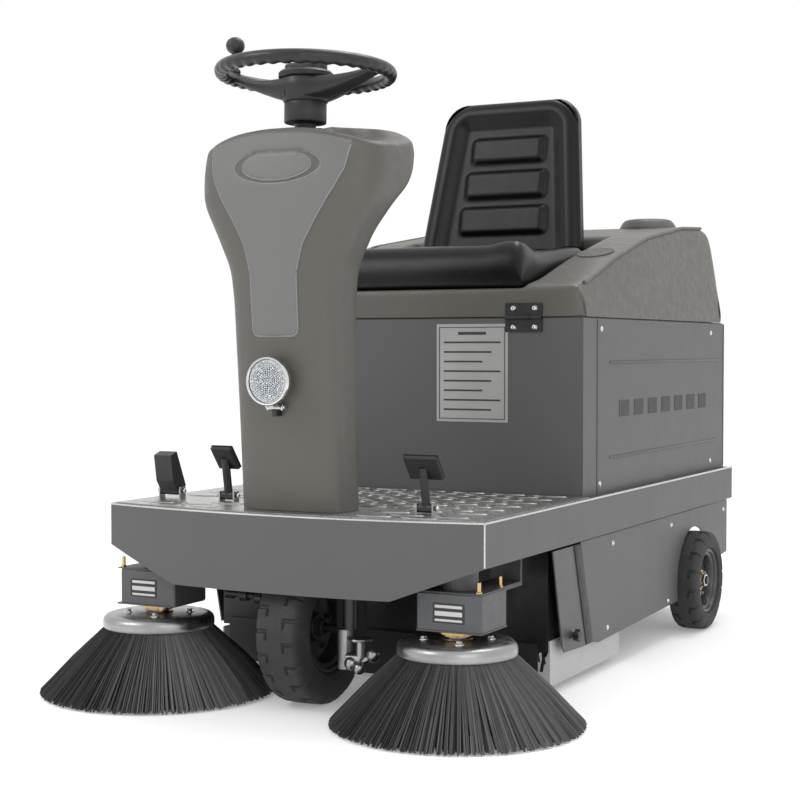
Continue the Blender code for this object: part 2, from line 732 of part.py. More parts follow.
def steering_wheel(rubber, steel):
    """Wheel with a deep hub and three spokes, its shaft with the chain wheel, and the spinner knob."""
    axis = steer_axis()
    centre = steer_point(STEER_Z)
    turn = pivot("steering_pivot", centre)
    rim = turned("steering_wheel", ring_profile(STEER_R, STEER_GRIP_R, 10), centre, axis, steps=48, closed=True)
    hub = turned("steering_hub", [(0, 0.006), (0.034, 0.006), (0.041, 0.001), (0.043, -0.030),
                                  (0.0400, -0.050), (0.0385, -0.052), (0.0385, -0.090), (0, -0.090)],
                 centre, axis, steps=28)
    join(rim, hub)
    across = Vector((1, 0, 0))
    ahead = across.cross(axis)
    for out, low in ((across, -0.026), (-across, -0.026), (ahead, -0.026)):
        spoke = rod("spoke", centre + out * 0.030 + axis * low, centre + out * STEER_R, 0.0105, 12)
        join(rim, spoke)
    keep(smooth(rim), rubber, turn)
    shaft = rod("steering_shaft", steer_point(0.360), centre - axis * 0.0904, 0.0105, 20)
    lower = rod("shaft_end", steer_point(CHAIN_Z - 0.006), steer_point(0.365), 0.0075, 16)
    small = prism("chain_sprocket", sprocket_teeth(SMALL_SPROCKET_R, 8), 0, 0.005,
                  origin=steer_point(CHAIN_Z))
    keep(join(shaft, lower, small), steel, turn)
    foot = centre - across * STEER_R + axis * (STEER_GRIP_R + GAP)
    spin = pivot("spinner_pivot", foot, turn)
    knob = turned("spinner_knob", [(0, 0.0560), (0.010, 0.0545), (0.0165, 0.0480), (0.0178, 0.0400),
                                   (0.0155, 0.0320), (0.0080, 0.0260), (0.0060, 0.0120), (0.0075, 0),
                                   (0, 0)], foot, axis, steps=24)
    return keep(smooth(knob), rubber, spin)


def ring_profile(radius, thickness, steps):
    """A circle round a ring's middle line, running down its outer side."""
    return [(radius + thickness * math.cos(a), thickness * math.sin(a))
            for a in np.linspace(math.pi / 2, -3 * math.pi / 2, steps, endpoint=False)]


def sprocket_teeth(radius, count):
    """Outline of a chain wheel seen along its axis."""
    points = []
    for tooth in range(count):
        for share, height in ((0.0, 1.0), (0.25, 1.0), (0.5, 0.90), (0.75, 0.90)):
            angle = 2 * math.pi * (tooth + share) / count
            points.append((radius * height * math.cos(angle), radius * height * math.sin(angle)))
    return points


def steering_drive(steel, paint):
    """Chain and fork: the chain turns the fork 0.4 of a turn for each turn of the wheel."""
    stem = (0, depth(FRONT_AXLE_D), 0)
    small = steer_point(CHAIN_Z)
    outer = loop_outline((stem[1], 0), LARGE_SPROCKET_R + 0.0040, (small.y, 0), SMALL_SPROCKET_R + 0.0040, 20)
    inner = loop_outline((stem[1], 0), LARGE_SPROCKET_R + 0.0010, (small.y, 0), SMALL_SPROCKET_R + 0.0010, 20)
    flip = (0, 0, math.pi / 2)
    chain = prism("steering_chain", [(y, -x) for y, x in outer], CHAIN_Z + 0.0005, CHAIN_Z + 0.0045, flip)
    hollow = prism("chain_inside", [(y, -x) for y, x in inner], CHAIN_Z - 0.01, CHAIN_Z + 0.02, flip)
    keep(cut(chain, hollow), steel)
    steer = pivot("fork_pivot", stem)
    fork = box("front_fork", (-0.080, stem[1] - 0.022, 0.2880), (0.080, stem[1] + 0.022, 0.3000))
    for side in (1, -1):
        x = sorted((side * 0.060, side * 0.080))
        leg = box("fork_leg", (x[0], stem[1] - 0.017, 0.1000), (x[1], stem[1] + 0.017, 0.2950))
        join(fork, leg)
    post = rod("fork_stem", (0, stem[1], 0.2900), (0, stem[1], 0.3540), 0.0180)
    large = prism("fork_sprocket", sprocket_teeth(LARGE_SPROCKET_R, 20), CHAIN_Z, CHAIN_Z + 0.005, origin=stem)
    axle = rod("front_axle", (-0.070, stem[1], FRONT_WHEEL_R), (0.070, stem[1], FRONT_WHEEL_R), 0.0080, 20)
    keep(join(fork, post, large, axle), paint, steer)
    return steer


def headlight(housing, lens):
    """Round lamp on a tilting bolt below it."""
    y = depth(-0.0478)
    tilt = pivot("headlight_pivot", (0, y + 0.012, HEADLIGHT_Z - HEADLIGHT_R - 0.004))
    centre = (0, y, HEADLIGHT_Z)
    bowl = turned("headlight_housing", [(0, 0.0140), (0.0180, 0.0135), (0.0340, 0.0060), (0.0415, -0.0020),
                                        (HEADLIGHT_R, -0.0080), (HEADLIGHT_R, -0.0160),
                                        (0.0385, -0.0160), (0.0385, -0.0080), (0, -0.0080)],
                  centre, (0, 1, 0), steps=32)
    bracket = rod("lamp_pin", (-0.012, y + 0.012, tilt.location.z), (0.012, y + 0.012, tilt.location.z), 0.0048, 14)
    web = box("lamp_web", (-0.005, y - 0.004, tilt.location.z), (0.005, y + 0.0125, tilt.location.z + 0.010))
    join(bowl, web, bracket)
    keep(smooth(bowl), housing, tilt)
    glass = turned("headlight_lens", [(0, -0.0084), (0.0380, -0.0084), (0.0380, -0.0150), (0.0300, -0.0185),
                                      (0.0150, -0.0205), (0, -0.0210)], centre, (0, 1, 0), steps=32)
    return keep(smooth(glass), lens, tilt)


# Wheels


def wheel(name, tyre_rubber, steel, centre, radius, half, rim_r, parent=None):
    spin = pivot(name + "_pivot", centre, parent)
    shoulder = 0.010
    tyre = turned(name.replace("wheel", "tyre"),
                  [(rim_r + GAP, half - 0.004), (rim_r + 0.006, half), (radius - shoulder, half),
                   (radius - 0.003, half - 0.003), (radius, half - shoulder), (radius, shoulder - half),
                   (radius - 0.003, 0.003 - half), (radius - shoulder, -half), (rim_r + 0.006, -half),
                   (rim_r + GAP, 0.004 - half)], centre, (1, 0, 0), steps=40, closed=True)
    keep(smooth(tyre), tyre_rubber, spin)
    disc = half * 0.35
    rim = turned(name.replace("wheel", "rim"),
                 [(0.0095, half - 0.006), (0.018, half - 0.006), (0.021, half - 0.010), (0.024, disc),
                  (rim_r * 0.72, disc), (rim_r * 0.84, half - 0.010), (rim_r - 0.004, half - 0.005),
                  (rim_r, half - 0.005), (rim_r, 0.005 - half), (rim_r - 0.004, 0.005 - half),
                  (rim_r * 0.84, 0.010 - half), (rim_r * 0.72, -disc), (0.024, -disc), (0.021, 0.010 - half),
                  (0.018, 0.006 - half), (0.0095, 0.006 - half)], centre, (1, 0, 0), steps=36, closed=True)
    return keep(smooth(rim), steel, spin)


def wheels(tyre_rubber, steel, fork):
    front = (0, depth(FRONT_AXLE_D), FRONT_WHEEL_R)
    wheel("front_wheel", tyre_rubber, steel, front, FRONT_WHEEL_R, FRONT_WHEEL_HALF, 0.082, fork)
    for side in (1, -1):
        centre = (side * REAR_WHEEL_X, depth(REAR_AXLE_D), REAR_WHEEL_R)
        wheel(f"rear_wheel_{mirrored(side)}", tyre_rubber, steel, centre, REAR_WHEEL_R, REAR_WHEEL_HALF, 0.0745)
        rear_axle(side, steel, centre)


def rear_axle(side, steel, centre):
    """Stub axle welded to a bracket that hangs from the deck."""
    _, y, z = centre
    plate_x = sorted((side * 0.3000, side * 0.3060))
    axle = box(f"rear_axle_{mirrored(side)}", (plate_x[0], y - 0.045, z - 0.035),
               (plate_x[1], y + 0.045, DECK_TOP - PLATE - GAP))
    stub = rod("axle_stub", (side * 0.3030, y, z), (side * 0.4200, y, z), 0.0090, 20)
    return keep(join(axle, stub), steel)


# Side brushes


def side_brushes(case, silver, bristle):
    for side in (1, -1):
        which = mirrored(side)
        x, y = side * SIDE_BRUSH_X, depth(SIDE_BRUSH_D)
        lift = pivot(f"brush_arm_{which}_pivot", (x, depth(ARM_HINGE_D), ARM_HINGE_Z))
        gear = gear_motor(which, side, x, y)
        keep(gear, case, lift)
        spin = pivot(f"side_brush_{which}_pivot", (x, y, 0.15), lift)
        disc = turned(f"brush_disc_{which}", [(0, 0.1640), (0.0185, 0.1640), (0.0185, 0.1520),
                                              (0.0270, 0.1505), (0.0600, 0.1510), (0.0900, 0.1530),
                                              (0.1010, 0.1490), (DISC_R, 0.1400), (DISC_R, 0.1240),
                                              (0.0950, 0.1240), (0, 0.1240)], (x, y, 0), steps=36)
        keep(smooth(disc), silver, spin)
        skirt = turned(f"side_bristles_{which}", [(0.0700, 0.1236), (0.1030, 0.1236), (0.1560, 0.0750),
                                                  (SIDE_BRUSH_R, 0.0090), (SIDE_BRUSH_R - 0.001, 0.0020),
                                                  (0.1650, 0.0020), (0.1100, 0.0600)],
                       (x, y, 0), steps=40, closed=True)
        keep(smooth(skirt), bristle, spin)


def gear_motor(which, side, x, y):
    """Gearbox with its motor can, bolted to the arm that hangs from the deck's hinge."""
    low_z, high_z = 0.1680, 0.2360
    centre_y = y + 0.010
    gear = box(f"gear_motor_{which}", (x - 0.058, centre_y - 0.053, low_z), (x + 0.066, centre_y + 0.053, high_z),
               0.003, 1)
    can = rod("motor_can", (x, centre_y, high_z - 0.01), (x, centre_y, 0.3080), 0.0330, 24)
    arm = box("brush_arm", (x - 0.030, centre_y + 0.020, 0.2180), (x + 0.030, depth(ARM_HINGE_D), 0.2260))
    riser = box("arm_riser", (x - 0.030, depth(ARM_HINGE_D) - 0.008, 0.2180),
                (x + 0.030, depth(ARM_HINGE_D), ARM_HINGE_Z))
    pin = rod("arm_pin", (x - 0.040, depth(ARM_HINGE_D), ARM_HINGE_Z),
              (x + 0.040, depth(ARM_HINGE_D), ARM_HINGE_Z), 0.0080, 16)
    return join(gear, can, arm, riser, pin)


# Pedals and hopper


def pedals(plastic, steel):
    """Accelerator and brake for the driver's right foot, flap pedal for the left foot."""
    for name, x, distance, half, rise in PEDALS:
        base = Vector((x, depth(distance), FLOOR + rise))
        turn = pivot(name + "_pivot", base)
        boss = rod(name, base - Vector((half, 0, 0)), base + Vector((half, 0, 0)), 0.0085, 18)
        reach = Vector((half + 0.0034, 0, 0))
        join(boss, rod("pedal_pin", base - reach, base + reach, 0.0040, 12))
        if name == "accelerator_pedal":
            side = [(base.y + 0.006, base.z - 0.004), (base.y + 0.018, base.z + 0.010),
                    (base.y - 0.012, base.z + 0.077), (base.y - 0.032, base.z + 0.070),
                    (base.y - 0.024, base.z + 0.020), (base.y - 0.006, base.z - 0.004)]
            join(boss, prism("accelerator_pad", side, x - 0.020, x + 0.020, SIDE_TURN))
            keep(boss, plastic, turn)
            continue
        width = 0.024 if x < 0 else 0.034
        top = base + Vector((0, -0.012, 0.072))
        join(boss, rod("pedal_arm", base, top, 0.0080, 14))
        plate = box("pedal_plate", (-width, -0.004, -0.027), (width, 0.004, 0.027), 0.003, 1)
        plate.location = top
        plate.rotation_euler = (math.radians(38), 0, 0)
        keep(join(boss, plate), steel, turn)


HOPPER_HALF = 0.284


def hopper(plastic):
    """Dust bin behind the main brush: open in front and above, it pulls out to the rear."""
    bin_front, bin_rear = depth(0.760), depth(1.466)
    bottom, top = 0.0800, 0.2740
    thick = 0.004
    body = box("hopper", (-HOPPER_HALF, bin_front, bottom), (HOPPER_HALF, bin_rear, top))
    inside = box("hopper_inside", (-HOPPER_HALF + thick, bin_front - 0.02, bottom + thick),
                 (HOPPER_HALF - thick, bin_rear - thick, top + 0.02))
    lip = box("hopper_threshold", (-HOPPER_HALF, bin_front, bottom), (HOPPER_HALF, bin_front + thick, 0.115))
    grip = box("hopper_grip", (-0.070, bin_rear - 0.002, 0.2120), (0.070, bin_rear + 0.022, 0.2240))
    cut(body, inside)
    join(body, lip, grip)
    slide = pivot("hopper_pivot", (0, bin_rear, bottom))
    return keep(body, plastic, slide)


def main():
    clear_scene()
    paint = material("grey_paint", (0.130, 0.130, 0.132), 0.45)
    plastic = material("warm_grey_plastic", (0.142, 0.135, 0.124), 0.55)
    black = material("black_plastic", (0.020, 0.020, 0.021), 0.5)
    steel = material("dark_steel", (0.060, 0.060, 0.062), 0.45, 0.8)
    bright = material("bright_steel", (0.55, 0.55, 0.54), 0.3, 1.0)
    aluminium = material("tread_aluminium", (0.50, 0.50, 0.49), 0.35, 1.0)
    vinyl = material("seat_vinyl", (0.022, 0.022, 0.022), 0.45)
    tyre_rubber = material("tyre_rubber", (0.040, 0.040, 0.042), 0.8)
    rubber = material("black_rubber", (0.030, 0.030, 0.030), 0.7)
    light_rubber = material("light_rubber", (0.42, 0.42, 0.42), 0.6)
    bristle = material("bristle_nylon", (0.035, 0.035, 0.037), 0.6)
    gearbox = material("gearbox_grey", (0.075, 0.076, 0.080), 0.5, 0.3)
    red = material("stop_red", (0.60, 0.02, 0.02), 0.4)
    lens = material("lamp_glass", (0.80, 0.82, 0.84), 0.08, 0.6)
    deck_frame(paint)
    front_apron(paint)
    tread_plate(aluminium)
    side_plates(paint)
    brush_door(paint, black)
    brush_housing(steel)
    dust_skirts(light_rubber)
    front_flap(rubber)
    main_brush(bristle, bright, rubber, gearbox)
    body_frame(steel)
    body_panels(paint)
    machinery(black, gearbox)
    hinge = hood(plastic)
    seat(vinyl, hinge)
    hood_hinges(steel, hinge)
    column_cover(plastic)
    dashboard(black, red, bright)
    steering_support(steel)
    steering_wheel(rubber, bright)
    fork = steering_drive(steel, steel)
    headlight(bright, lens)
    wheels(tyre_rubber, steel, fork)
    side_brushes(gearbox, bright, bristle)
    pedals(black, steel)
    hopper(black)


main()
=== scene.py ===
"""Looks of the ride-on sweeper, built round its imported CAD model.

Metres, +Z up, front towards -Y, the driver's left towards +X.
"""

import json
import math
import random

import bmesh
import bpy
import numpy as np
from mathutils import Matrix, Vector

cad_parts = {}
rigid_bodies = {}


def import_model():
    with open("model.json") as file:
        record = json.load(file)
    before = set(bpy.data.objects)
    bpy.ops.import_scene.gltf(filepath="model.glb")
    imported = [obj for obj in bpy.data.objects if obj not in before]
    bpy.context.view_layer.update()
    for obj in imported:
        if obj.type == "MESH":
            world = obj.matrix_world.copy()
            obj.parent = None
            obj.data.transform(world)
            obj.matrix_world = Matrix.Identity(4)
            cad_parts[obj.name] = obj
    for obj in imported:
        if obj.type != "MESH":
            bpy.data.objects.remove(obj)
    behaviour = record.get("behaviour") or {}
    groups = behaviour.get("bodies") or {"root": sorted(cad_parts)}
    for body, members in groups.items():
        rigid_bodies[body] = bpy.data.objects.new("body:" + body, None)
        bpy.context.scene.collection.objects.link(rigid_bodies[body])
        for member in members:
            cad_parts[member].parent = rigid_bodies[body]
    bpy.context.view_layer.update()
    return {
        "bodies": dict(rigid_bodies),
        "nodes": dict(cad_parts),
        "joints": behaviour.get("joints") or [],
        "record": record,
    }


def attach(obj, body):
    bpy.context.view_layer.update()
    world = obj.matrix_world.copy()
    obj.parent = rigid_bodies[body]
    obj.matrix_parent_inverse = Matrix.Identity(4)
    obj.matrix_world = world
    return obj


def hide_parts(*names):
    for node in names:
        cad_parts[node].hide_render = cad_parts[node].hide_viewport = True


FRONT_Y = -0.65775
BODY_HALF = 0.369
HOOD_FOOT = 0.7165
PLATE_TOP = 0.3622
UP = Vector((0, 0, 1))
LEFT = Vector((1, 0, 0))

STEER_TILT = math.radians(1.8)
STEER_AXIS = Vector((0, math.sin(STEER_TILT), math.cos(STEER_TILT)))
WHEEL_CENTRE = (0, 0.072, 1.152)
WHEEL_RADIUS = 0.1535

# Sections of the column cover:
# height, half width, front, rear, bulge of the front face, rise of the middle
COLUMN = ((0.3625, 0.106, 0.004, 0.098, 0.0, 0), (0.45, 0.106, -0.002, 0.096, 0.006, 0),
    (0.6, 0.106, -0.014, 0.093, 0.016, 0), (0.74, 0.107, -0.026, 0.092, 0.016, 0),
    (0.795, 0.113, -0.028, 0.09, 0.018, 0), (0.86, 0.145, -0.026, 0.088, 0.02, 0),
    (0.915, 0.176, -0.026, 0.114, 0.022, 0), (0.955, 0.185, -0.022, 0.174, 0.024, 0.006),
    (0.99, 0.187, -0.016, 0.186, 0.024, 0.018), (1.008, 0.184, -0.012, 0.182, 0.024, 0.032))
# How the top closes over: share of the last section, and height above it
COLUMN_DOME = ((0.996, 0.003), (0.985, 0.006), (0.965, 0.009), (0.94, 0.011), (0.88, 0.013),
    (0.78, 0.015), (0.6, 0.016), (0.4, 0.017), (0.25, 0.018))
COLUMN_CORNER = 0.42
# Height and half width of the raised front
FASCIA = ((0.675, 0.046), (0.78, 0.047), (0.805, 0.051), (0.84, 0.061), (0.88, 0.084),
    (0.93, 0.116), (0.965, 0.135), (1.01, 0.143), (1.06, 0.145))

LENS_RADIUS = 0.0376

# Distance and height of the hood's side crease
CREASE = ((0.512, 0.781), (0.578, 0.791), (0.749, 0.845), (0.968, 0.9), (1.247, 0.941), (1.4, 0.95),
    (1.45, 0.942), (1.474, 0.915), (1.484, 0.86))
HOOD_HALF = ((0.512, 1.247, 1.484), (0.358, 0.338, 0.338))
DASH_TILT = -math.radians(42)
DASH_CENTRE = (0, 0.166, 1.0235)

# Place of the left side brush, then radius and height of its bristles' ends
SIDE_BRUSH = (0.3153, 0.05)
BRISTLE_ROOT = (0.103, 0.1236)
BRISTLE_TIP = (0.2235, 0.0035)


def depth(distance):
    """Y of a point this far behind the deck's front corners."""
    return FRONT_Y + distance


def at(x, distance, z):
    """The point this far to the left, behind the deck's front corners, and up."""
    return Vector((x, depth(distance), z))


# Materials


def linked(tree, kind, **inputs):
    node = tree.nodes.new(kind)
    for name, value in inputs.items():
        socket = node.inputs[name.replace("_", " ")]
        if isinstance(value, bpy.types.NodeSocket):
            tree.links.new(value, socket)
        else:
            socket.default_value = value
    return node


def surface(name, colour, roughness, metallic=0.0, spread=0.1, blotch=9.0, grain=900.0,
        depth_mm=0.03, cells=False, stretch=(1, 1, 1), rough_spread=0.08, **constants):
    """A node material: blotchy colour and roughness, and a fine grain as bump."""
    made = bpy.data.materials.new(name)
    made.use_nodes = True
    tree = made.node_tree
    shader = tree.nodes["Principled BSDF"]
    shader.inputs["Metallic"].default_value = metallic
    for socket, value in constants.items():
        shader.inputs[socket.replace("_", " ")].default_value = value
    place = tree.nodes.new("ShaderNodeTexCoord")
    scaled = linked(tree, "ShaderNodeMapping", Vector=place.outputs["Object"], Scale=stretch)
    point = scaled.outputs["Vector"]
    blotches = linked(tree, "ShaderNodeTexNoise", Vector=point, Scale=blotch, Detail=5.0,
        Roughness=0.6)
    tint = tree.nodes.new("ShaderNodeValToRGB")
    tint.color_ramp.elements[0].position = 0.3
    tint.color_ramp.elements[1].position = 0.7
    tint.color_ramp.elements[0].color = (*[c * (1 - spread) for c in colour], 1)
    tint.color_ramp.elements[1].color = (*[min(1, c * (1 + spread)) for c in colour], 1)
    tree.links.new(blotches.outputs["Fac"], tint.inputs["Fac"])
    tree.links.new(tint.outputs["Color"], shader.inputs["Base Color"])
    wear = linked(tree, "ShaderNodeTexNoise", Vector=point, Scale=blotch * 6, Detail=6.0)
    rough = linked(tree, "ShaderNodeMapRange", Value=wear.outputs["Fac"])
    rough.inputs["From Min"].default_value = 0.3
    rough.inputs["From Max"].default_value = 0.7
    rough.inputs["To Min"].default_value = max(0.02, roughness - rough_spread)
    rough.inputs["To Max"].default_value = min(1, roughness + rough_spread)
    tree.links.new(rough.outputs["Result"], shader.inputs["Roughness"])
    if cells:
        fine = linked(tree, "ShaderNodeTexVoronoi", Vector=point, Scale=grain)
        height = fine.outputs["Distance"]
    else:
        fine = linked(tree, "ShaderNodeTexNoise", Vector=point, Scale=grain, Detail=3.0)
        height = fine.outputs["Fac"]
    bump = linked(tree, "ShaderNodeBump", Height=height, Strength=0.6, Distance=depth_mm / 1000)
    tree.links.new(bump.outputs["Normal"], shader.inputs["Normal"])
    return made


def two_tone(made, colour, attribute):
    """Mixes a second colour into a material where a point attribute says so."""
    tree = made.node_tree
    shader = tree.nodes["Principled BSDF"]
    first = shader.inputs["Base Color"].links[0].from_socket
    share = tree.nodes.new("ShaderNodeAttribute")
    share.attribute_name = attribute
    mix = tree.nodes.new("ShaderNodeMix")
    mix.data_type = "RGBA"
    tree.links.new(share.outputs["Fac"], mix.inputs["Factor"])
    tree.links.new(first, mix.inputs["A"])
    mix.inputs["B"].default_value = (*colour, 1)
    tree.links.new(mix.outputs["Result"], shader.inputs["Base Color"])
    return made


# Shapes: each adds to a bmesh, and piece() makes the object


def add_box(shape, low, high, round_by=0.0, segments=3, turn=None, about=None):
    low, high = Vector(low), Vector(high)
    made = bmesh.ops.create_cube(shape, size=1)["verts"]
    bmesh.ops.scale(shape, vec=high - low, verts=made)
    bmesh.ops.translate(shape, vec=(low + high) / 2, verts=made)
    if round_by:
        edges = {e for v in made for e in v.link_edges}
        made = bmesh.ops.bevel(shape, geom=list(edges), offset=round_by, segments=segments,
            profile=0.5, affect="EDGES")["verts"]
    if turn is not None:
        bmesh.ops.rotate(shape, cent=about or (low + high) / 2, matrix=turn, verts=made)
    return made


def add_turned(shape, profile, base, axis=UP, steps=40, scale=(1, 1)):
    """Turns a profile of (radius, height) about an axis.

    Its ends lie on the axis or it is a closed loop.
    """
    turn = Vector(axis).to_track_quat("Z", "Y").to_matrix()
    base = Vector(base)
    loop = (Vector(profile[0]) - Vector(profile[-1])).length < 1e-6
    points = profile[:-1] if loop else profile
    rings = []
    for radius, height in points:
        if radius < 1e-6:
            rings.append([shape.verts.new(base + turn @ Vector((0, 0, height)))])
            continue
        ring = []
        for step in range(steps):
            angle = 2 * math.pi * step / steps
            spot = Vector((radius * math.cos(angle) * scale[0], radius * math.sin(angle) * scale[1],
                height))
            ring.append(shape.verts.new(base + turn @ spot))
        rings.append(ring)
    pairs = list(zip(rings, rings[1:] + ([rings[0]] if loop else [])))
    for upper, lower in pairs[:len(points) if loop else len(points) - 1]:
        for step in range(steps):
            after = (step + 1) % steps
            corners = [upper[step % len(upper)], upper[after % len(upper)],
                lower[after % len(lower)], lower[step % len(lower)]]
            shape.faces.new(list(dict.fromkeys(corners)))
    return [v for ring in rings for v in ring]


def add_rod(shape, start, end, radius, sides=20, edge=0.0008):
    start, end = Vector(start), Vector(end)
    length = (end - start).length
    edge = min(edge, radius / 3, length / 3)
    profile = [(0, length), (radius - edge, length), (radius, length - edge), (radius, edge),
        (radius - edge, 0), (0, 0)]
    return add_turned(shape, profile, start, end - start, sides)


def add_prism(shape, outline, place, thickness, round_by=0.0008):
    """A flat outline given thickness: place turns (u, v, height) into a point."""
    lower = [shape.verts.new(place(u, v, 0)) for u, v in outline]
    upper = [shape.verts.new(place(u, v, thickness)) for u, v in outline]
    top = shape.faces.new(upper)
    faces = [top, shape.faces.new(list(reversed(lower)))]
    for i in range(len(outline)):
        after = (i + 1) % len(outline)
        faces.append(shape.faces.new([lower[i], lower[after], upper[after], upper[i]]))
    if round_by:
        bmesh.ops.bevel(shape, geom=list(top.edges), offset=round_by, segments=2, profile=0.5,
            affect="EDGES")
    return lower + upper


def add_grid(shape, columns, rows, place, wrap=False):
    """A surface whose points are place(column, row). It returns the rows of points."""
    lines = [[shape.verts.new(place(c, r)) for c in range(columns)] for r in range(rows)]
    for r in range(rows - 1):
        for c in range(columns if wrap else columns - 1):
            after = (c + 1) % columns
            shape.faces.new([lines[r][c], lines[r][after], lines[r + 1][after], lines[r + 1][c]])
    return lines


def join_ends(shape, lines):
    """Joins the last row of a wrapped grid to its first."""
    for k, start in enumerate(lines[-1]):
        after = (k + 1) % len(lines[-1])
        shape.faces.new([start, lines[-1][after], lines[0][after], lines[0][k]])


def border_of(lines):
    """A grid's outer points, in order."""
    return (lines[0] + [line[-1] for line in lines[1:]] + list(reversed(lines[-1][:-1])) + [line[0]
        for line in reversed(lines[1:-1])])


def add_slab(shape, side, x, distance, z, round_by=0.0, segments=3):
    """A box between pairs of x, distance and z, on the side whose sign is given."""
    low, high = sorted((side * x[0], side * x[1]))
    return add_box(shape, at(low, distance[0], z[0]), at(high, distance[1], z[1]), round_by,
        segments)


def rounded_outline(half_u, half_v, radius, centre=(0, 0), steps=6):
    points = []
    for corner, (su, sv) in enumerate(((1, 1), (-1, 1), (-1, -1), (1, -1))):
        for step in range(steps + 1):
            angle = math.pi / 2 * (corner + step / steps)
            points.append((centre[0] + su * (half_u - radius) + radius * math.cos(angle),
                centre[1] + sv * (half_v - radius) + radius * math.sin(angle)))
    return points


def piece(name, shape, material, body, replaces=(), flat=False, angle=35):
    """Makes an object of the bmesh, gives it its material and lets it ride on its CAD body."""
    bmesh.ops.remove_doubles(shape, verts=shape.verts, dist=1e-6)
    bmesh.ops.recalc_face_normals(shape, faces=shape.faces)
    mesh = bpy.data.meshes.new(name)
    shape.to_mesh(mesh)
    shape.free()
    obj = bpy.data.objects.new(name, mesh)
    bpy.context.scene.collection.objects.link(obj)
    mesh.materials.append(material)
    if not flat:
        mesh.shade_smooth()
        mesh.set_sharp_from_angle(angle=math.radians(angle))
    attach(obj, body)
    if replaces:
        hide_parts(*replaces)
    return obj


def apply(obj):
    """Makes the modifiers' result the object's own mesh."""
    graph = bpy.context.evaluated_depsgraph_get()
    mesh = bpy.data.meshes.new_from_object(obj.evaluated_get(graph))
    obj.modifiers.clear()
    obj.data = mesh
    return obj


def subdivide(obj, levels):
    made = obj.modifiers.new("fine", "SUBSURF")
    made.levels = made.render_levels = levels
    return apply(obj)


def step_up(value, low, high):
    """Smooth step from 0 at low to 1 at high."""
    share = np.clip((value - low) / (high - low), 0, 1)
    return share * share * (3 - 2 * share)


# Steering column


def column_levels(count):
    """The cover's sections at many heights, smoothed so that its sides flow."""
    heights = np.linspace(COLUMN[0][0], COLUMN[-1][0], count)
    sections = np.array([np.interp(heights, [s[0] for s in COLUMN],
        [s[k] for s in COLUMN]) for k in range(1, 6)]).T
    window = np.ones(9) / 9
    smoothed = sections.copy()
    for k in range(5):
        padded = np.pad(sections[:, k], 4, mode="edge")
        smoothed[:, k] = np.convolve(padded, window, mode="valid")
    ends = np.minimum(np.arange(count), np.arange(count)[::-1])
    keep = np.clip(ends / 6, 0, 1)[:, None]
    return heights, sections * (1 - keep) + smoothed * keep


def column_ring(section, count):
    """Evenly spaced points round one section, starting at the middle of the front."""
    half, front, rear, bulge = section[:4]
    angles = np.linspace(-math.pi / 2, 3 * math.pi / 2, 2001)
    across, along = np.cos(angles), np.sin(angles)
    x = half * np.sign(across) * np.abs(across) ** COLUMN_CORNER
    y = (rear + front) / 2 + (rear - front) / 2 * np.sign(along) * np.abs(along) ** COLUMN_CORNER
    middle = 1 - (x / half) ** 2
    y = y - np.where(along < 0, bulge * middle * np.minimum(1, np.abs(along) * 1.5), 0)
    run = np.concatenate([[0], np.cumsum(np.hypot(np.diff(x), np.diff(y)))])
    spots = np.linspace(0, run[-1], count, endpoint=False)
    return np.interp(spots, run, x), np.interp(spots, run, y)


def fascia_share(x, y, z, section):
    """1 on the raised front fascia, 0 off it."""
    edge = np.interp(z, *zip(*FASCIA))
    corner = 0.012 * np.clip(1 - (z - 0.675) / 0.012, 0, 1) ** 2
    on_front = step_up((section[1] + section[2]) / 2 - y, 0.0, 0.01)
    share = step_up(edge - corner - np.abs(x), -0.0012, 0.0018) * step_up(z, 0.674, 0.677)
    return share * on_front * (1 - step_up(z, 1.03, 1.04))


def badge_dip(x, z):
    """1 in the oval ring pressed into the fascia."""
    outer = np.hypot((x - 0.006) / 0.09, (z - 0.974) / 0.0325)
    inner = np.hypot((x - 0.006) / 0.069, (z - 0.974) / 0.025)
    return (1 - step_up(outer, 0.95, 1.0)) * step_up(inner, 0.98, 1.06)


def crown(x, y, height):
    """The cover's top rises behind the wheel on both sides and falls away in front of it."""
    share = step_up(height, 0.93, 1.0)
    return share * (0.016 * np.clip((y - 0.085) / 0.1, 0, 1) * step_up(np.abs(x), 0.092,
        0.14) - 0.011 * np.clip((0.072 - y) / 0.09, 0, 1))


def front_face(x, z):
    """Y of the cover's front at this place."""
    half, front, rear, bulge = (float(np.interp(z, [s[0] for s in COLUMN],
        [s[k] for s in COLUMN])) for k in (1, 2, 3, 4))
    across = min(0.999, abs(x) / half) ** (1 / COLUMN_CORNER)
    along = math.sqrt(1 - across ** 2)
    reach = (rear + front) / 2 - (rear - front) / 2 * along ** COLUMN_CORNER
    return depth(reach - bulge * (1 - (x / half) ** 2) * min(1, along * 1.5))


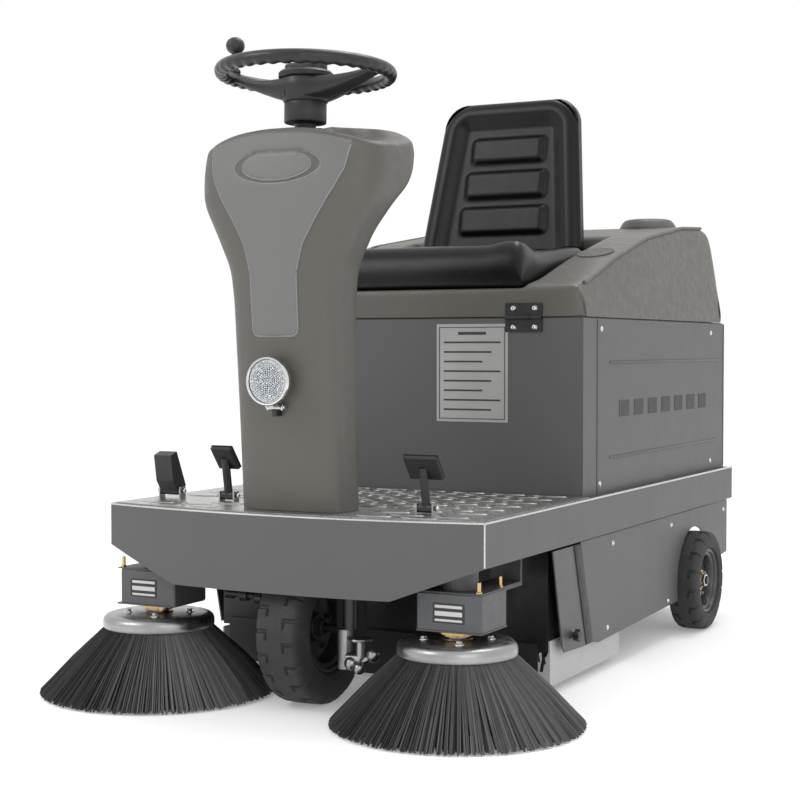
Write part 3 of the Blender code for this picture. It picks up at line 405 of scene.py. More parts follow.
def column_beads(material):
    """Fine raised lines round the fascia and its blank oval badge; their pale colour is painted
    highlight along these edges.
    """
    shape = bmesh.new()
    heights = np.linspace(0.687, 1.006, 44)
    edge = [(float(np.interp(z, *zip(*FASCIA))), float(z)) for z in heights]
    low = [(0.0455 - 0.012 * (1 - math.cos(a)), 0.687 - 0.012 * math.sin(a))
        for a in np.linspace(0.2, math.pi / 2, 6)]
    outline = [(-x, z) for x, z in reversed(edge)] + [(-x, z) for x,
        z in low] + list(reversed(low)) + edge
    add_tube(shape, [Vector((x, front_face(x, z) - 0.0008, z)) for x, z in outline], 0.0015)
    for wide, tall in ((0.088, 0.0318), (0.07, 0.0254)):
        oval = [(0.006 + wide * math.cos(a), 0.974 + tall * math.sin(a)) for a in np.linspace(0,
            2 * math.pi, 73)]
        add_tube(shape, [Vector((x, front_face(x, z) - 0.0016, z)) for x, z in oval], 0.0011)
    return piece("fascia_highlight_beads", shape, material, "chassis")


def column_cover(material):
    around, count = 300, 150
    heights, sections = column_levels(count)
    shape = bmesh.new()
    mark = shape.verts.layers.float.new("fascia")
    rows, marks = [], []
    for height, section in zip(heights, sections):
        x, y = column_ring(section, around)
        z = height + section[4] * (1 - np.abs(x / section[0]) ** 2.6) + crown(x, y, height)
        share = fascia_share(x, y, z, section)
        y = y - 0.002 * share + 0.0014 * badge_dip(x, z) * share
        rows.append(np.stack([x, depth(y), z], 1))
        marks.append(share * (1 - badge_dip(x, z)))
    top = rows[-1]
    middle = depth((COLUMN[-1][2] + COLUMN[-1][3]) / 2)
    for shrink, raised in COLUMN_DOME:
        level = top.copy()
        level[:, 0] *= shrink
        level[:, 1] = middle + (level[:, 1] - middle) * shrink
        level[:, 2] += raised
        rows.append(level)
        marks.append(marks[-1] * 0)
    inner = [np.stack([rows[k][:, 0] * 0.965, middle + (rows[k][:, 1] - middle) * 0.94,
        rows[k][:, 2]], 1) for k in range(0, count, 8)]
    ceiling = inner[-1].copy()
    ceiling[:, 0] *= 0.1
    ceiling[:, 1] = middle + (ceiling[:, 1] - middle) * 0.1
    ceiling[:, 2] = 1.035
    levels = [ceiling, *reversed(inner), *rows]
    lines = add_grid(shape, around, len(levels), lambda c, r: levels[r][c], wrap=True)
    for line, share in zip(lines[len(inner) + 1:], marks):
        for vert, value in zip(line, share):
            vert[mark] = float(value)
    shape.faces.new(lines[-1])
    shape.faces.new(list(reversed(lines[0])))
    cover = piece("column_shell", shape, material, "chassis", ["column_cover"],
        angle=50)
    window = bmesh.new()
    slope = Matrix.Rotation(DASH_TILT, 3, "X")
    centre = at(*DASH_CENTRE)
    add_box(window, centre + Vector((-0.0856, -0.0306, -0.0165)),
        centre + Vector((0.0856, 0.0306, 0.06)), turn=slope, about=centre)
    foot = at(*WHEEL_CENTRE) - STEER_AXIS * 0.17
    add_rod(window, foot, foot + STEER_AXIS * 0.12, 0.022, 37)
    return cut(cover, window)


def cut(obj, shape):
    """Subtracts a bmesh from an object."""
    mesh = bpy.data.meshes.new("cutter")
    bmesh.ops.recalc_face_normals(shape, faces=shape.faces)
    shape.to_mesh(mesh)
    shape.free()
    cutter = bpy.data.objects.new("cutter", mesh)
    bpy.context.scene.collection.objects.link(cutter)
    made = obj.modifiers.new("cut", "BOOLEAN")
    made.operation = "DIFFERENCE"
    made.solver = "EXACT"
    made.object = cutter
    apply(obj)
    bpy.data.objects.remove(cutter)
    return obj


def headlight(chrome, facets, steel):
    """Bezel, reflector glass cut in facets, and the nut on the tilting bolt."""
    centre = at(0, -0.0478, 0.596)
    ahead = Vector((0, -1, 0))
    lens = bmesh.new()
    rings = 11
    size = LENS_RADIUS / (rings - 1) * 0.62
    chance = random.Random(5)
    for ring in range(rings - 1):
        radius = LENS_RADIUS * ring / (rings - 1)
        count = max(1, 6 * ring)
        for k in range(count):
            angle = 2 * math.pi * (k + 0.5 * (ring % 2)) / count
            u, v = radius * math.cos(angle), radius * math.sin(angle)
            tilt = Matrix.Rotation(chance.uniform(-0.5, 0.5), 3,
                "X") @ Matrix.Rotation(chance.uniform(-0.5, 0.5), 3, "Z")
            dome = 0.0195 - 0.0035 * (math.hypot(u, v) / LENS_RADIUS) ** 2
            add_turned(lens, [(0, 0.0016), (size * 0.55, 0.0012), (size, -0.001), (0, -0.003)],
                centre + Vector((u, -dome + 0.002, v)), tilt @ ahead, 6)
    add_turned(lens, [(0, 0.015), (0.0374, 0.0142), (0.0374, 0.009), (0, 0.009)], centre, ahead, 40)
    piece("headlight_glass", lens, facets, "headlight", ["headlight_lens"], flat=True)
    ring = bmesh.new()
    add_turned(ring, [(0.0384, 0.0158), (0.0398, 0.018), (0.0422, 0.0176), (0.0436, 0.015),
        (0.0436, 0.0095), (0.0426, 0.008), (0.0384, 0.0158)], centre, ahead, 64)
    piece("headlight_bezel", ring, chrome, "headlight")
    nut = bmesh.new()
    foot = at(0, -0.0358, 0.5495)
    for side in (1, -1):
        add_rod(nut, foot + LEFT * side * 0.0125, foot + LEFT * side * 0.0165, 0.0058, 6)
        add_rod(nut, foot + LEFT * side * 0.0165, foot + LEFT * side * 0.0195, 0.003, 14)
    piece("headlight_nuts", nut, chrome, "headlight")
    stub = bmesh.new()
    add_box(stub, foot + Vector((-0.0045, -0.0045, -0.016)), foot + Vector((0.0045, 0.02, -0.0035)),
        0.0012)
    return piece("headlight_bracket", stub, steel, "chassis")


def steering_wheel(rubber, plastic, steel):
    """Rim with finger grips, three spokes, cap, collar, and the spinner ball."""
    centre = at(*WHEEL_CENTRE)
    turn = STEER_AXIS.to_track_quat("Z", "Y").to_matrix()
    shape = bmesh.new()
    around, across = 288, 18

    def rim(column, row):
        angle = 2 * math.pi * column / around
        lap = 2 * math.pi * row / across
        under = max(0.0, -math.sin(lap) + 0.25 * math.cos(lap)) * (0.5 - 0.5 * math.cos(angle * 40))
        radius = 0.0122 - 0.0024 * under
        out = WHEEL_RADIUS + radius * math.cos(lap)
        spot = Vector((out * math.cos(angle), out * math.sin(angle), 1.08 * radius * math.sin(lap)))
        return centre + turn @ spot

    lines = add_grid(shape, around, across, rim, wrap=True)
    join_ends(shape, lines)
    piece("wheel_rim", shape, rubber, "steering", ["steering_wheel"], angle=60)
    hub = bmesh.new()
    for angle in (0, math.pi, -math.pi / 2):
        out = Vector((math.cos(angle), math.sin(angle), 0))
        side = Vector((-out.y, out.x, 0))

        def spoke(column, row):
            share = row / 10
            lap = 2 * math.pi * column / 20
            reach = 0.02 + share * 0.132
            middle = -0.03 + 0.029 * share ** 1.6
            width = 0.03 - 0.014 * share + 0.012 * (1 - share) ** 3
            thick = 0.0185 * (1 - share) ** 1.3 + 0.005
            u = math.copysign(abs(math.cos(lap)) ** 0.5, math.cos(lap)) * width
            v = math.copysign(abs(math.sin(lap)) ** 0.5, math.sin(lap)) * thick
            return centre + turn @ (out * reach + side * u + UP * (middle + v))

        ends = add_grid(hub, 20, 11, spoke, wrap=True)
        hub.faces.new(ends[-1])
        hub.faces.new(list(reversed(ends[0])))
    add_turned(hub, [(0, -0.01), (0.044, -0.01), (0.0465, -0.0125), (0.0465, -0.03),
        (0.044, -0.046), (0.04, -0.053), (0, -0.053)], centre, STEER_AXIS, 48)
    piece("wheel_spokes", hub, plastic, "steering", angle=45)
    cap = bmesh.new()
    add_turned(cap, [(0, 0.006), (0.03, 0.0058), (0.046, 0.003), (0.05, -0.001), (0.05, -0.008),
        (0.048, -0.0098), (0, -0.0098)], centre, STEER_AXIS, 56)
    add_turned(cap, [(0, 0.0085), (0.018, 0.008), (0.02, 0.005), (0, 0.005)], centre, STEER_AXIS,
        40)
    add_prism(cap, rounded_outline(0.041, 0.0185, 0.0165), lambda u, v,
        h: centre + turn @ Vector((u, v, 0.005 + h)), 0.0125, 0.003)
    add_prism(cap, rounded_outline(0.027, 0.029, 0.014), lambda u, v,
        h: centre + turn @ Vector((u, v, 0.005 + h)), 0.0075, 0.002)
    piece("wheel_cap", cap, plastic, "steering")
    knob = bmesh.new()
    base = centre - LEFT * WHEEL_RADIUS + STEER_AXIS * 0.013
    ball = [(0.0176 * math.cos(a), 0.0505 + 0.0162 * math.sin(a)) for a in np.linspace(-1.15,
        math.pi / 2 - 0.001, 14)]
    add_turned(knob, [(0, 0.0004), (0.0105, 0.0004), (0.0105, 0.004), (0.0068, 0.009),
        (0.0062, 0.03)] + ball[:-1] + [(0, 0.0667)], base, STEER_AXIS, 40)
    piece("spinner_ball", knob, plastic, "spinner", ["spinner_knob"])
    collar = bmesh.new()
    add_turned(collar, [(0, -0.053), (0.0375, -0.053), (0.0385, -0.0545), (0.0385, -0.089),
        (0.0375, -0.0905), (0.0205, -0.0925), (0.0195, -0.094), (0.0195, -0.115), (0, -0.115)],
        centre, STEER_AXIS, 56)
    piece("wheel_collar", collar, plastic, "steering")
    clamp = bmesh.new()
    foot = centre - LEFT * WHEEL_RADIUS + STEER_AXIS * 0.0126
    add_turned(clamp, [(0, 0.0002), (0.009, 0.0001), (0.0108, -0.0008), (0.0108, -0.004),
        (0, -0.004)], foot, STEER_AXIS, 28)
    piece("spinner_clamp", clamp, steel, "steering")


def dashboard(plastic, chrome, pale, dark, red):
    """Gauge, key bezel and switches on the panel that faces the driver."""
    slope = Matrix.Rotation(DASH_TILT, 3, "X")
    face = at(*DASH_CENTRE)

    def on_panel(x, v, height):
        return face + slope @ Vector((x, v, height))

    normal = slope @ UP
    frame = bmesh.new()
    for u in (-1, 1):
        add_box(frame, face + Vector((u * 0.083 - 0.0018, -0.029, -0.001)),
            face + Vector((u * 0.083 + 0.0018, 0.029, 0.0014)), 0.0005, 2, slope, face)
        add_box(frame, face + Vector((-0.083, u * 0.0275 - 0.0015, -0.001)),
            face + Vector((0.083, u * 0.0275 + 0.0015, 0.0014)), 0.0005, 2, slope, face)
    piece("panel_frame", frame, plastic, "chassis")
    gauge = bmesh.new()
    add_prism(gauge, rounded_outline(0.022, 0.012, 0.003, (0, 0.008)), on_panel, 0.0022)
    piece("charge_gauge", gauge, pale, "chassis")
    ticks = bmesh.new()
    for step in range(8):
        x = -0.015 + step * 0.0043
        tall = 0.003 + 0.0007 * step
        add_prism(ticks, [(x, 0.001), (x + 0.0026, 0.001), (x + 0.0026, 0.001 + tall),
            (x, 0.001 + tall)], lambda u, v, h: on_panel(u, v + 0.001, 0.0022 + h), 0.0004, 0)
    piece("gauge_bars", ticks, dark, "chassis")
    bezel = bmesh.new()
    add_turned(bezel, [(0.0152, 0.0022), (0.0162, 0.003), (0.019, 0.0028), (0.02, 0.0004),
        (0.0152, 0.0004), (0.0152, 0.0022)], on_panel(-0.05, 0, 0), normal, 36)
    add_turned(bezel, [(0.0114, 0.0022), (0.0122, 0.003), (0.0142, 0.0026), (0.015, 0.0004),
        (0.0114, 0.0004), (0.0114, 0.0022)], on_panel(0.05, 0, 0), normal, 36)
    piece("switch_bezels", bezel, chrome, "chassis")
    rockers = bmesh.new()
    for x in (-0.014, 0.014):
        add_box(rockers, face + Vector((x - 0.008, -0.017, 0)), face + Vector((x + 0.008, -0.008,
            0.0036)), 0.001, 2, slope, face)
    piece("rocker_switches", rockers, dark, "chassis")
    mushroom = bmesh.new()
    base = on_panel(-0.05, 0, 0.0004)
    add_turned(mushroom, [(0, 0.016), (0.006, 0.0158), (0.0115, 0.0148), (0.0148, 0.0125),
        (0.0155, 0.01), (0.015, 0.0078), (0.0085, 0.007), (0.008, 0), (0, 0)], base, normal, 44)
    piece("stop_mushroom", mushroom, red, "stop_button", ["emergency_stop"])
    grip = bmesh.new()
    spot = on_panel(0.05, 0, 0.0004)
    add_turned(grip, [(0, 0.005), (0.01, 0.0048), (0.0112, 0.0034), (0.0112, 0), (0, 0)], spot,
        normal, 36)
    add_box(grip, spot + Vector((-0.0012, -0.0085, 0.004)), spot + Vector((0.0012, 0.0085, 0.0125)),
        0.0005, 2, slope, spot)
    return piece("key_grip", grip, chrome, "key", ["key_switch"])


# Hood and seat


def crease(distance):
    """Height of the hood's side crease."""
    return float(np.interp(distance, *zip(*CREASE)))


def hood(material, dark):
    """Moulded lid with its boss, finger dish, welts, and the seal that it closes on. The dish's
    darker plastic is painted shade in its recess.
    """
    across = (0, 0.06, 0.12, 0.18, 0.222, 0.2385, 0.2415, 0.25, 0.275, 0.305, 1, 2, 3, 4, 5, 6)
    along = (0.512, 0.512, 0.512, 0.5128, 0.52, 0.545, 0.578, 0.64, 0.7, 0.76, 0.85, 0.94, 0.985,
        0.9965, 1.0, 1.02, 1.1, 1.18, 1.247, 1.32, 1.39, 1.425, 1.452, 1.47, 1.481, 1.4845, 1.485)
    low_rows = {0: HOOD_FOOT, 1: 0.72, 2: 0.745, 3: 0.772}
    last = len(along) - 1
    rear_rows = {last: HOOD_FOOT, last - 1: 0.75}

    def half_at(distance):
        return float(np.interp(distance, *HOOD_HALF))

    def place(column, row):
        side = column - (len(across) - 1)
        step = abs(side)
        distance = along[row]
        half = half_at(distance)
        roof = crease(distance)
        well = distance < 0.997 and row > 3
        if step < 10:
            x = min(across[step], half - 0.022)
            z = roof + 0.002 * (1 - (x / half) ** 2)
            if well and step < 6:
                z = 0.775
            if row == 4:
                z = min(z, 0.775 if step < 6 else 0.78)
        else:
            x, drop = ((half - 0.018, 0.0005), (half - 0.004, 0.004), (half + 0.0015, 0.018),
                (None, 0.5), (None, 0.95), (None, 1.0))[step - 10]
            z = roof - drop
            if x is None:
                z = roof - 0.018 + (HOOD_FOOT - roof + 0.018) * drop
                x = half + 0.0015 + (BODY_HALF - half - 0.0015) * drop
            x = min(x, BODY_HALF)
        if row in low_rows:
            z = min(z, low_rows[row])
            x = x * (BODY_HALF / half if row < 3 else 1 + (BODY_HALF / half - 1) * 0.3)
        if row in rear_rows:
            z = min(z, rear_rows[row])
            x = x * BODY_HALF / half
        x = min(x, BODY_HALF)
        corner = max(0, x - (BODY_HALF - 0.035)) / 0.035
        pull = 0.018 * corner ** 2.5
        if distance < 0.6:
            distance = max(distance, 0.512 + pull)
        if distance > 1.42:
            distance = min(distance, 1.485 - pull * 1.6)
        return math.copysign(x, side) if side else 0.0, depth(distance), z

    shape = bmesh.new()
    add_grid(shape, 2 * len(across) - 1, len(along), place)
    shell = piece("hood_shell", shape, material, "hood_lid", ["hood"], angle=75)
    wall = shell.modifiers.new("wall", "SOLIDIFY")
    wall.thickness = 0.0035
    wall.offset = -1 if shell.data.polygons[len(shell.data.polygons) // 2].normal.z > 0 else 1
    subdivide(shell, 2)
    boss = bmesh.new()
    add_turned(boss, [(0, 0.0215), (0.048, 0.0215), (0.056, 0.019), (0.062, 0.012), (0.0665, 0.004),
        (0.07, -0.001), (0.07, -0.006), (0, -0.006)], at(0.236, 1.29, 0.942), UP, 64)
    piece("hood_boss", boss, material, "hood_lid")
    # The finger dish is in the darker plastic: painted shade in its recess.
    dish = bmesh.new()
    slope = math.atan2(crease(0.83) - crease(0.77), 0.06)
    lean = Vector((0, -math.sin(slope), math.cos(slope)))
    add_turned(dish, [(0, -0.0005), (0.6, -0.0002), (0.85, 0.0006), (0.94, 0.0014), (1.0, 0.001),
        (1.02, -0.003), (0, -0.003)], (0.286, depth(0.797), crease(0.797) + 0.0012), lean, 48,
        scale=(0.039, 0.048))
    piece("finger_dish", dish, dark, "hood_lid")
    welt = bmesh.new()
    for side in (1, -1):
        points = []
        for distance in np.linspace(0.56, 1.4, 60):
            points.append(at(side * (half_at(distance) - 0.0052), distance,
                crease(distance) - 0.003))
        add_tube(welt, points, 0.0036, 10)
    piece("hood_welt", welt, material, "hood_lid")
    seam = bmesh.new()
    for side in (1, -1):
        add_slab(seam, side, (0.36, 0.3655), (0.516, 1.481), (0.712, 0.7162), 0.001, 1)
    for distance in (0.5155, 1.4765):
        add_slab(seam, 1, (-0.365, 0.365), (distance, distance + 0.005), (0.712, 0.7162), 0.001, 1)
    return piece("hood_seal", seam, dark, "chassis")


def seat_cushion(vinyl):
    """Foam cushion with a front roll, side bolsters and a sewn middle."""
    half, front, rear, bottom = 0.2345, 0.5178, 0.919, 0.7762
    across, along = 73, 73

    def top(x, distance):
        side = abs(x) / half
        height = 0.8655 - 0.013 * step_up(distance, 0.575, 0.64) + 0.017 * step_up(distance, 0.66,
            0.9)
        height += 0.007 * step_up(side, 0.6, 0.8) * (1 - 0.5 * step_up(distance, 0.56, 0.53))
        seam_x = 0.0035 * math.exp(-((side - 0.62) / 0.02) ** 2) * float(step_up(distance, 0.58,
            0.62))
        seams = sum(math.exp(-((distance - line) / 0.0045) ** 2) for line in (0.622, 0.715, 0.808))
        return height - seam_x - 0.0035 * seams * (1 - float(step_up(side, 0.58, 0.63)))

    def edge_round(gap, radius):
        if gap >= radius:
            return 1.0
        return math.sqrt(max(0.0, 1 - (1 - gap / radius) ** 2))

    def place(column, row):
        u = math.sin(math.pi / 2 * (2 * column / (across - 1) - 1))
        v = 0.5 + 0.5 * math.sin(math.pi / 2 * (2 * row / (along - 1) - 1))
        x = u * half
        distance = front + v * (rear - front)
        pull = 0.004 * math.sin(math.pi * v) ** 2 * abs(u) ** 6
        x -= math.copysign(pull, x)
        lift = edge_round((1 - abs(u)) * half, 0.03) * edge_round(v * (rear - front), 0.046)
        lift *= edge_round((1 - v) * (rear - front), 0.03)
        low = bottom + 0.016
        return x, depth(distance), low + (top(x, distance) - low) * lift

    shape = bmesh.new()
    lines = add_grid(shape, across, along, place)
    border = border_of(lines)
    for drop, inward in ((0.006, 0.0005), (0.012, 0.003), (0.016, 0.01)):
        middle = Vector((0, depth((front + rear) / 2), 0))
        lower = []
        for vert in border:
            flat = Vector((vert.co.x, vert.co.y, 0)) - middle
            spot = middle + flat * (1 - inward / max(0.1, flat.length))
            lower.append(shape.verts.new((spot.x, spot.y, bottom + 0.016 - drop)))
        for i, vert in enumerate(border):
            after = (i + 1) % len(border)
            shape.faces.new([vert, border[after], lower[after], lower[i]])
        border = lower
    shape.faces.new(border)
    cushion = piece("cushion_cover", shape, vinyl, "hood_lid", ["seat_cushion"],
        angle=80)
    return cushion


def seat_back(vinyl):
    """Moulded back: a raised border round a sunk panel with three raised pads."""
    tall, thick = 0.3545, 0.0435
    turn = Matrix.Rotation(math.pi / 2 - math.radians(11.9), 3, "X")
    origin = at(0, 0.925, 0.882)
    across, up = 97, 121
    radius = 0.052

    def half_at(v):
        return float(np.interp(v, (0, 0.318, tall), (0.199, 0.166, 0.164)))

    def outline_round(x, v):
        """Distance inside the outline, whose top corners are round."""
        dx, dv = half_at(v) - abs(x), tall - v
        if dx < radius and dv < radius:
            return radius - math.hypot(radius - dx, radius - dv)
        return min(dx, dv, v + 0.012)

    def relief(x, v):
        dx, dv = half_at(v) - abs(x), tall - v
        gap = min(dx, dv)
        if dx < 0.07 and dv < 0.07:
            gap = 0.07 - math.hypot(0.07 - dx, 0.07 - dv)
        if gap < 0:
            gap = max(gap, outline_round(x, v))
        if gap < 0.026:
            height = -0.0165 * (1 - math.sqrt(max(0.0, 1 - (1 - max(0.0, gap) / 0.026) ** 2)))
        else:
            height = -0.0155 * float(step_up(gap, 0.028, 0.066))
        for middle, tall_half, width in ((0.07, 0.0345, 0.108), (0.155, 0.034, 0.101),
                (0.238, 0.032, 0.092)):
            du, dw = tall_half - abs(v - middle), width - abs(x)
            inside = min(du, dw)
            if du < 0.014 and dw < 0.014:
                inside = 0.014 - math.hypot(0.014 - du, 0.014 - dw)
            height += 0.0105 * float(step_up(inside, -0.003, 0.011))
        return height

    def spot(x, v, z):
        return origin + turn @ Vector((x, v, z))

    def shrink(u, v):
        """Keeps the grid's edge on the rounded outline."""
        half = half_at(v)
        if tall - v < radius:
            half = half - radius + math.sqrt(max(0.0, radius ** 2 - (radius - (tall - v)) ** 2))
        return u * half

    def on_back(column, row):
        u = math.sin(math.pi / 2 * (2 * column / (across - 1) - 1))
        share = row / (up - 1)
        if share >= 0.85:
            share = 0.85 + 0.15 * math.sin(math.pi / 2 * (share - 0.85) / 0.15)
        return shrink(u, tall * share), tall * share

    def place(column, row):
        x, v = on_back(column, row)
        return spot(x, v, relief(x, v))

    shape = bmesh.new()
    lines = add_grid(shape, across, up, place)

    def behind(column, row):
        x, v = on_back(column, row)
        gap = max(0.0, outline_round(x, v))
        edge = 0.012 * (1 - math.sqrt(max(0.0, 1 - (1 - min(1, gap / 0.012)) ** 2)))
        return spot(x, v, -thick + edge)

    rear = add_grid(shape, across, up, behind)
    face_edge, rear_edge = border_of(lines), border_of(rear)
    for i, start in enumerate(face_edge):
        after = (i + 1) % len(face_edge)
        shape.faces.new([start, face_edge[after], rear_edge[after], rear_edge[i]])
    back = piece("back_cover", shape, vinyl, "hood_lid", ["seat_back"], angle=80)
    return back


# Wheels


def tyre(name, centre, radius, half, rim_r, pitches, material, body, replaces):
    """Tyre with short notches in its tread, alternating from side to side."""
    per = 20
    side = [(half - 0.006, rim_r + 0.0006), (half - 0.002, rim_r + 0.003),
        (half - 0.0006, rim_r + 0.008), (half - 0.0012, rim_r + 0.009),
        (half - 0.0012, rim_r + 0.012), (half - 0.0002, rim_r + 0.013), (half, radius - 0.022),
        (half - 0.001, radius - 0.014), (half - 0.004, radius - 0.006),
        (half - 0.0085, radius - 0.002)]
    flat = half - 0.0125
    tread = [(flat * (1 - k / 9), radius - 0.001 * (1 - k / 9) ** 2) for k in range(19)]
    section = side + tread + [(-x, r) for x, r in reversed(side)]

    def place(column, row):
        x, r = section[row]
        pitch, share = divmod(column, per)
        share /= per
        if x < 0:
            share = (share + 0.5) % 1
        notch = 0.15 < share < 0.32 and abs(x) > 0.4 * half
        leg = 0.15 < share < 0.62 and 0.34 * half < abs(x) < 0.46 * half
        if (notch or leg) and r > radius - 0.0145:
            r -= 0.0045
        angle = 2 * math.pi * column / (pitches * per)
        return centre[0] + x, centre[1] + r * math.cos(angle), centre[2] + r * math.sin(angle)

    shape = bmesh.new()
    lines = add_grid(shape, pitches * per, len(section), place, wrap=True)
    join_ends(shape, lines)
    return piece(name, shape, material, body, replaces, angle=38)


def wheel_rim(name, centre, side, radius, half, material, brass, steel, body, replaces):
    """Deep dished rim with five lug bolts, a brass bearing cap and an axle nut."""
    out = Vector((side, 0, 0))
    shape = bmesh.new()
    lip = half - 0.001
    add_turned(shape, [(0.0098, 0.003), (0.026, 0.003), (0.029, 0.0005), (radius * 0.7, 0.0005),
        (radius * 0.75, 0.003), (radius * 0.78, lip - 0.01), (radius * 0.8, lip - 0.0075),
        (radius * 0.88, lip - 0.006), (radius * 0.9, lip - 0.0015), (radius * 0.93, lip),
        (radius - 0.001, lip - 0.0005), (radius - 0.0004, lip - 0.003),
        (radius - 0.0004, 0.003 - lip), (radius * 0.93, -lip), (radius * 0.88, 0.006 - lip),
        (radius * 0.78, 0.01 - lip), (radius * 0.75, -0.008), (radius * 0.7, -0.0055),
        (0.0098, -0.0055), (0.0098, 0.003)], centre, out, 72)
    piece(name, shape, material, body, replaces)
    bolts = bmesh.new()
    for k in range(5):
        angle = 2 * math.pi * k / 5 + 0.3
        spot = Vector(centre) + Vector((0, math.cos(angle), math.sin(angle))) * radius * 0.56
        add_rod(bolts, spot + out * 0.0002, spot + out * 0.0065, 0.0062, 6)
        add_rod(bolts, spot + out * 0.0065, spot + out * 0.011, 0.0034, 14)
    piece(name + "_bolts", bolts, steel, body)
    cap = bmesh.new()
    add_turned(cap, [(0.01, 0.0034), (0.025, 0.0034), (0.025, 0.01), (0.0235, 0.0125),
        (0.018, 0.013), (0.017, 0.0165), (0.01, 0.0165), (0.01, 0.0034)], centre, out, 48)
    piece(name + "_bearing_cap", cap, brass, body)
    nut = bmesh.new()
    add_turned(nut, [(0.0114, 0.0168), (0.016, 0.0168), (0.016, 0.0235), (0.0145, 0.025),
        (0.0114, 0.025), (0.0114, 0.0168)], centre, out, 6)
    return piece(name + "_nut", nut, steel, body, flat=True)


def wheels(tyre_material, rim_dark, brass, steel, black):
    """The three road wheels, and black boxes over the rear ones, which paint the shade at the top
    of their arches.
    """
    front = (0, depth(0.095), 0.14)
    tyre("front_tyre_tread", front, 0.14, 0.044, 0.082, 20, tyre_material, "front_wheel",
        ["front_tyre"])
    wheel_rim("front_rim_dish", front, 1, 0.082, 0.039, black, black, black, "front_wheel",
        ["front_rim"])
    arch_boxes = bmesh.new()
    for which, side in (("left", 1), ("right", -1)):
        centre = (side * 0.391, depth(1.19), 0.114)
        tyre(f"rear_tyre_tread_{which}", centre, 0.114, 0.036, 0.0745, 16, tyre_material,
            f"rear_wheel_{which}", [f"rear_tyre_{which}"])
        wheel_rim(f"rear_rim_dish_{which}", centre, side, 0.0745, 0.031, rim_dark, brass, steel,
            f"rear_wheel_{which}", [f"rear_rim_{which}"])
        # Black boxes over the rear tyres: painted shade in the tops of the arches.
        add_slab(arch_boxes, side, (0.308, 0.3815), (1.04, 1.34), (0.242, 0.279), 0.004)
        for distance in ((1.04, 1.15), (1.23, 1.34)):
            add_slab(arch_boxes, side, (0.308, 0.3115), distance, (0.15, 0.242), 0.001, 1)
    return piece("wheel_boxes_and_arch_shade", arch_boxes, black, "chassis")


# Brushes


def add_strand(shape, mark, points, radii, shade, sides=3):
    """One bristle: a thin closed tube through the points."""
    rings = []
    for at, (point, radius) in enumerate(zip(points, radii)):
        ahead = points[min(at + 1, len(points) - 1)] - points[max(at - 1, 0)]
        across = ahead.cross(UP).normalized() if abs(ahead.normalized().z) < 0.99 else LEFT
        other = ahead.cross(across).normalized()
        ring = []
        for k in range(sides):
            angle = 2 * math.pi * k / sides
            vert = shape.verts.new(point + across * radius * math.cos(angle) + other * radius
                * math.sin(angle))
            if mark is not None:
                vert[mark] = shade
            ring.append(vert)
        rings.append(ring)
    for low, high in zip(rings, rings[1:]):
        for k in range(sides):
            after = (k + 1) % sides
            shape.faces.new([low[k], low[after], high[after], high[k]])
    shape.faces.new(list(reversed(rings[0])))
    shape.faces.new(rings[-1])


def side_brush(which, side, bristle, core_black_and_bristle_shade, silver, steel):
    """Five rings of bristles round a near-black cone that paints the shade inside them, under a
    dished plate.
    """
    centre = at(side * SIDE_BRUSH[0], SIDE_BRUSH[1], 0)
    body = f"side_brush_{which}"
    chance = random.Random(11 + side)
    shape = bmesh.new()
    mark = shape.verts.layers.float.new("shade")
    for ring, count in enumerate((420, 380, 300, 230, 200)):
        for k in range(count):
            angle = 2 * math.pi * (k + 0.5 * (ring % 2) + chance.uniform(-0.35, 0.35)) / count
            end = angle + chance.uniform(-0.018, 0.018)
            root = BRISTLE_ROOT[0] - 0.0012 - 0.0055 * ring
            tip = BRISTLE_TIP[0] - 0.009 * ring - abs(chance.gauss(0, 0.0012))
            low = BRISTLE_TIP[1] + chance.uniform(-0.001, 0.0025)
            sag = chance.uniform(-0.0015, 0.0015)
            points = []
            for share in (0, 0.5, 1):
                radius = root + (tip - root) * share + sag * math.sin(math.pi * share)
                turn = angle + (end - angle) * share
                height = BRISTLE_ROOT[1] + 0.0008 + (low - BRISTLE_ROOT[1] - 0.0008) * share
                height += 0.0025 * math.sin(math.pi * share)
                points.append(centre + Vector((radius * math.cos(turn), radius * math.sin(turn),
                    height)))
            add_strand(shape, mark, points, (0.0014, 0.0019, 0.0019), chance.random() ** 1.5)
    piece(f"side_bristle_strands_{which}", shape, bristle, body,
        [f"side_bristles_{which}"], angle=80)
    # Near-black cone under the bristles: painted shade inside the bristle skirt.
    core = bmesh.new()
    add_turned(core, [(0.077, 0.1238), (0.096, 0.1238), (0.148, 0.07), (0.19, 0.027),
        (0.182, 0.025), (0.14, 0.064), (0.077, 0.114), (0.077, 0.1238)], centre, UP, 72)
    piece(f"side_bristle_shade_cone_{which}", core, core_black_and_bristle_shade, body)
    disc = bmesh.new()
    add_turned(disc, [(0, 0.164), (0.0165, 0.164), (0.0182, 0.1622), (0.0182, 0.154),
        (0.0262, 0.1535), (0.0275, 0.1515), (0.06, 0.1505), (0.09, 0.15), (0.0985, 0.148),
        (0.1035, 0.1435), (0.1055, 0.138), (0.1055, 0.129), (0.104, 0.125), (0.102, 0.1241),
        (0, 0.1241)], centre, UP, 96)
    piece(f"brush_plate_{which}", disc, silver, body, [f"brush_disc_{which}"])
    bolts = bmesh.new()
    for k in range(4):
        angle = math.pi / 2 * k + 0.5
        spot = centre + Vector((0.058 * math.cos(angle), 0.058 * math.sin(angle), 0.15))
        add_turned(bolts, [(0, 0.002), (0.0085, 0.0018), (0.009, 0), (0, 0)], spot, UP, 20)
        add_rod(bolts, spot + UP * 0.0018, spot + UP * 0.0068, 0.0058, 6)
    return piece(f"brush_plate_bolts_{which}", bolts, steel, body)


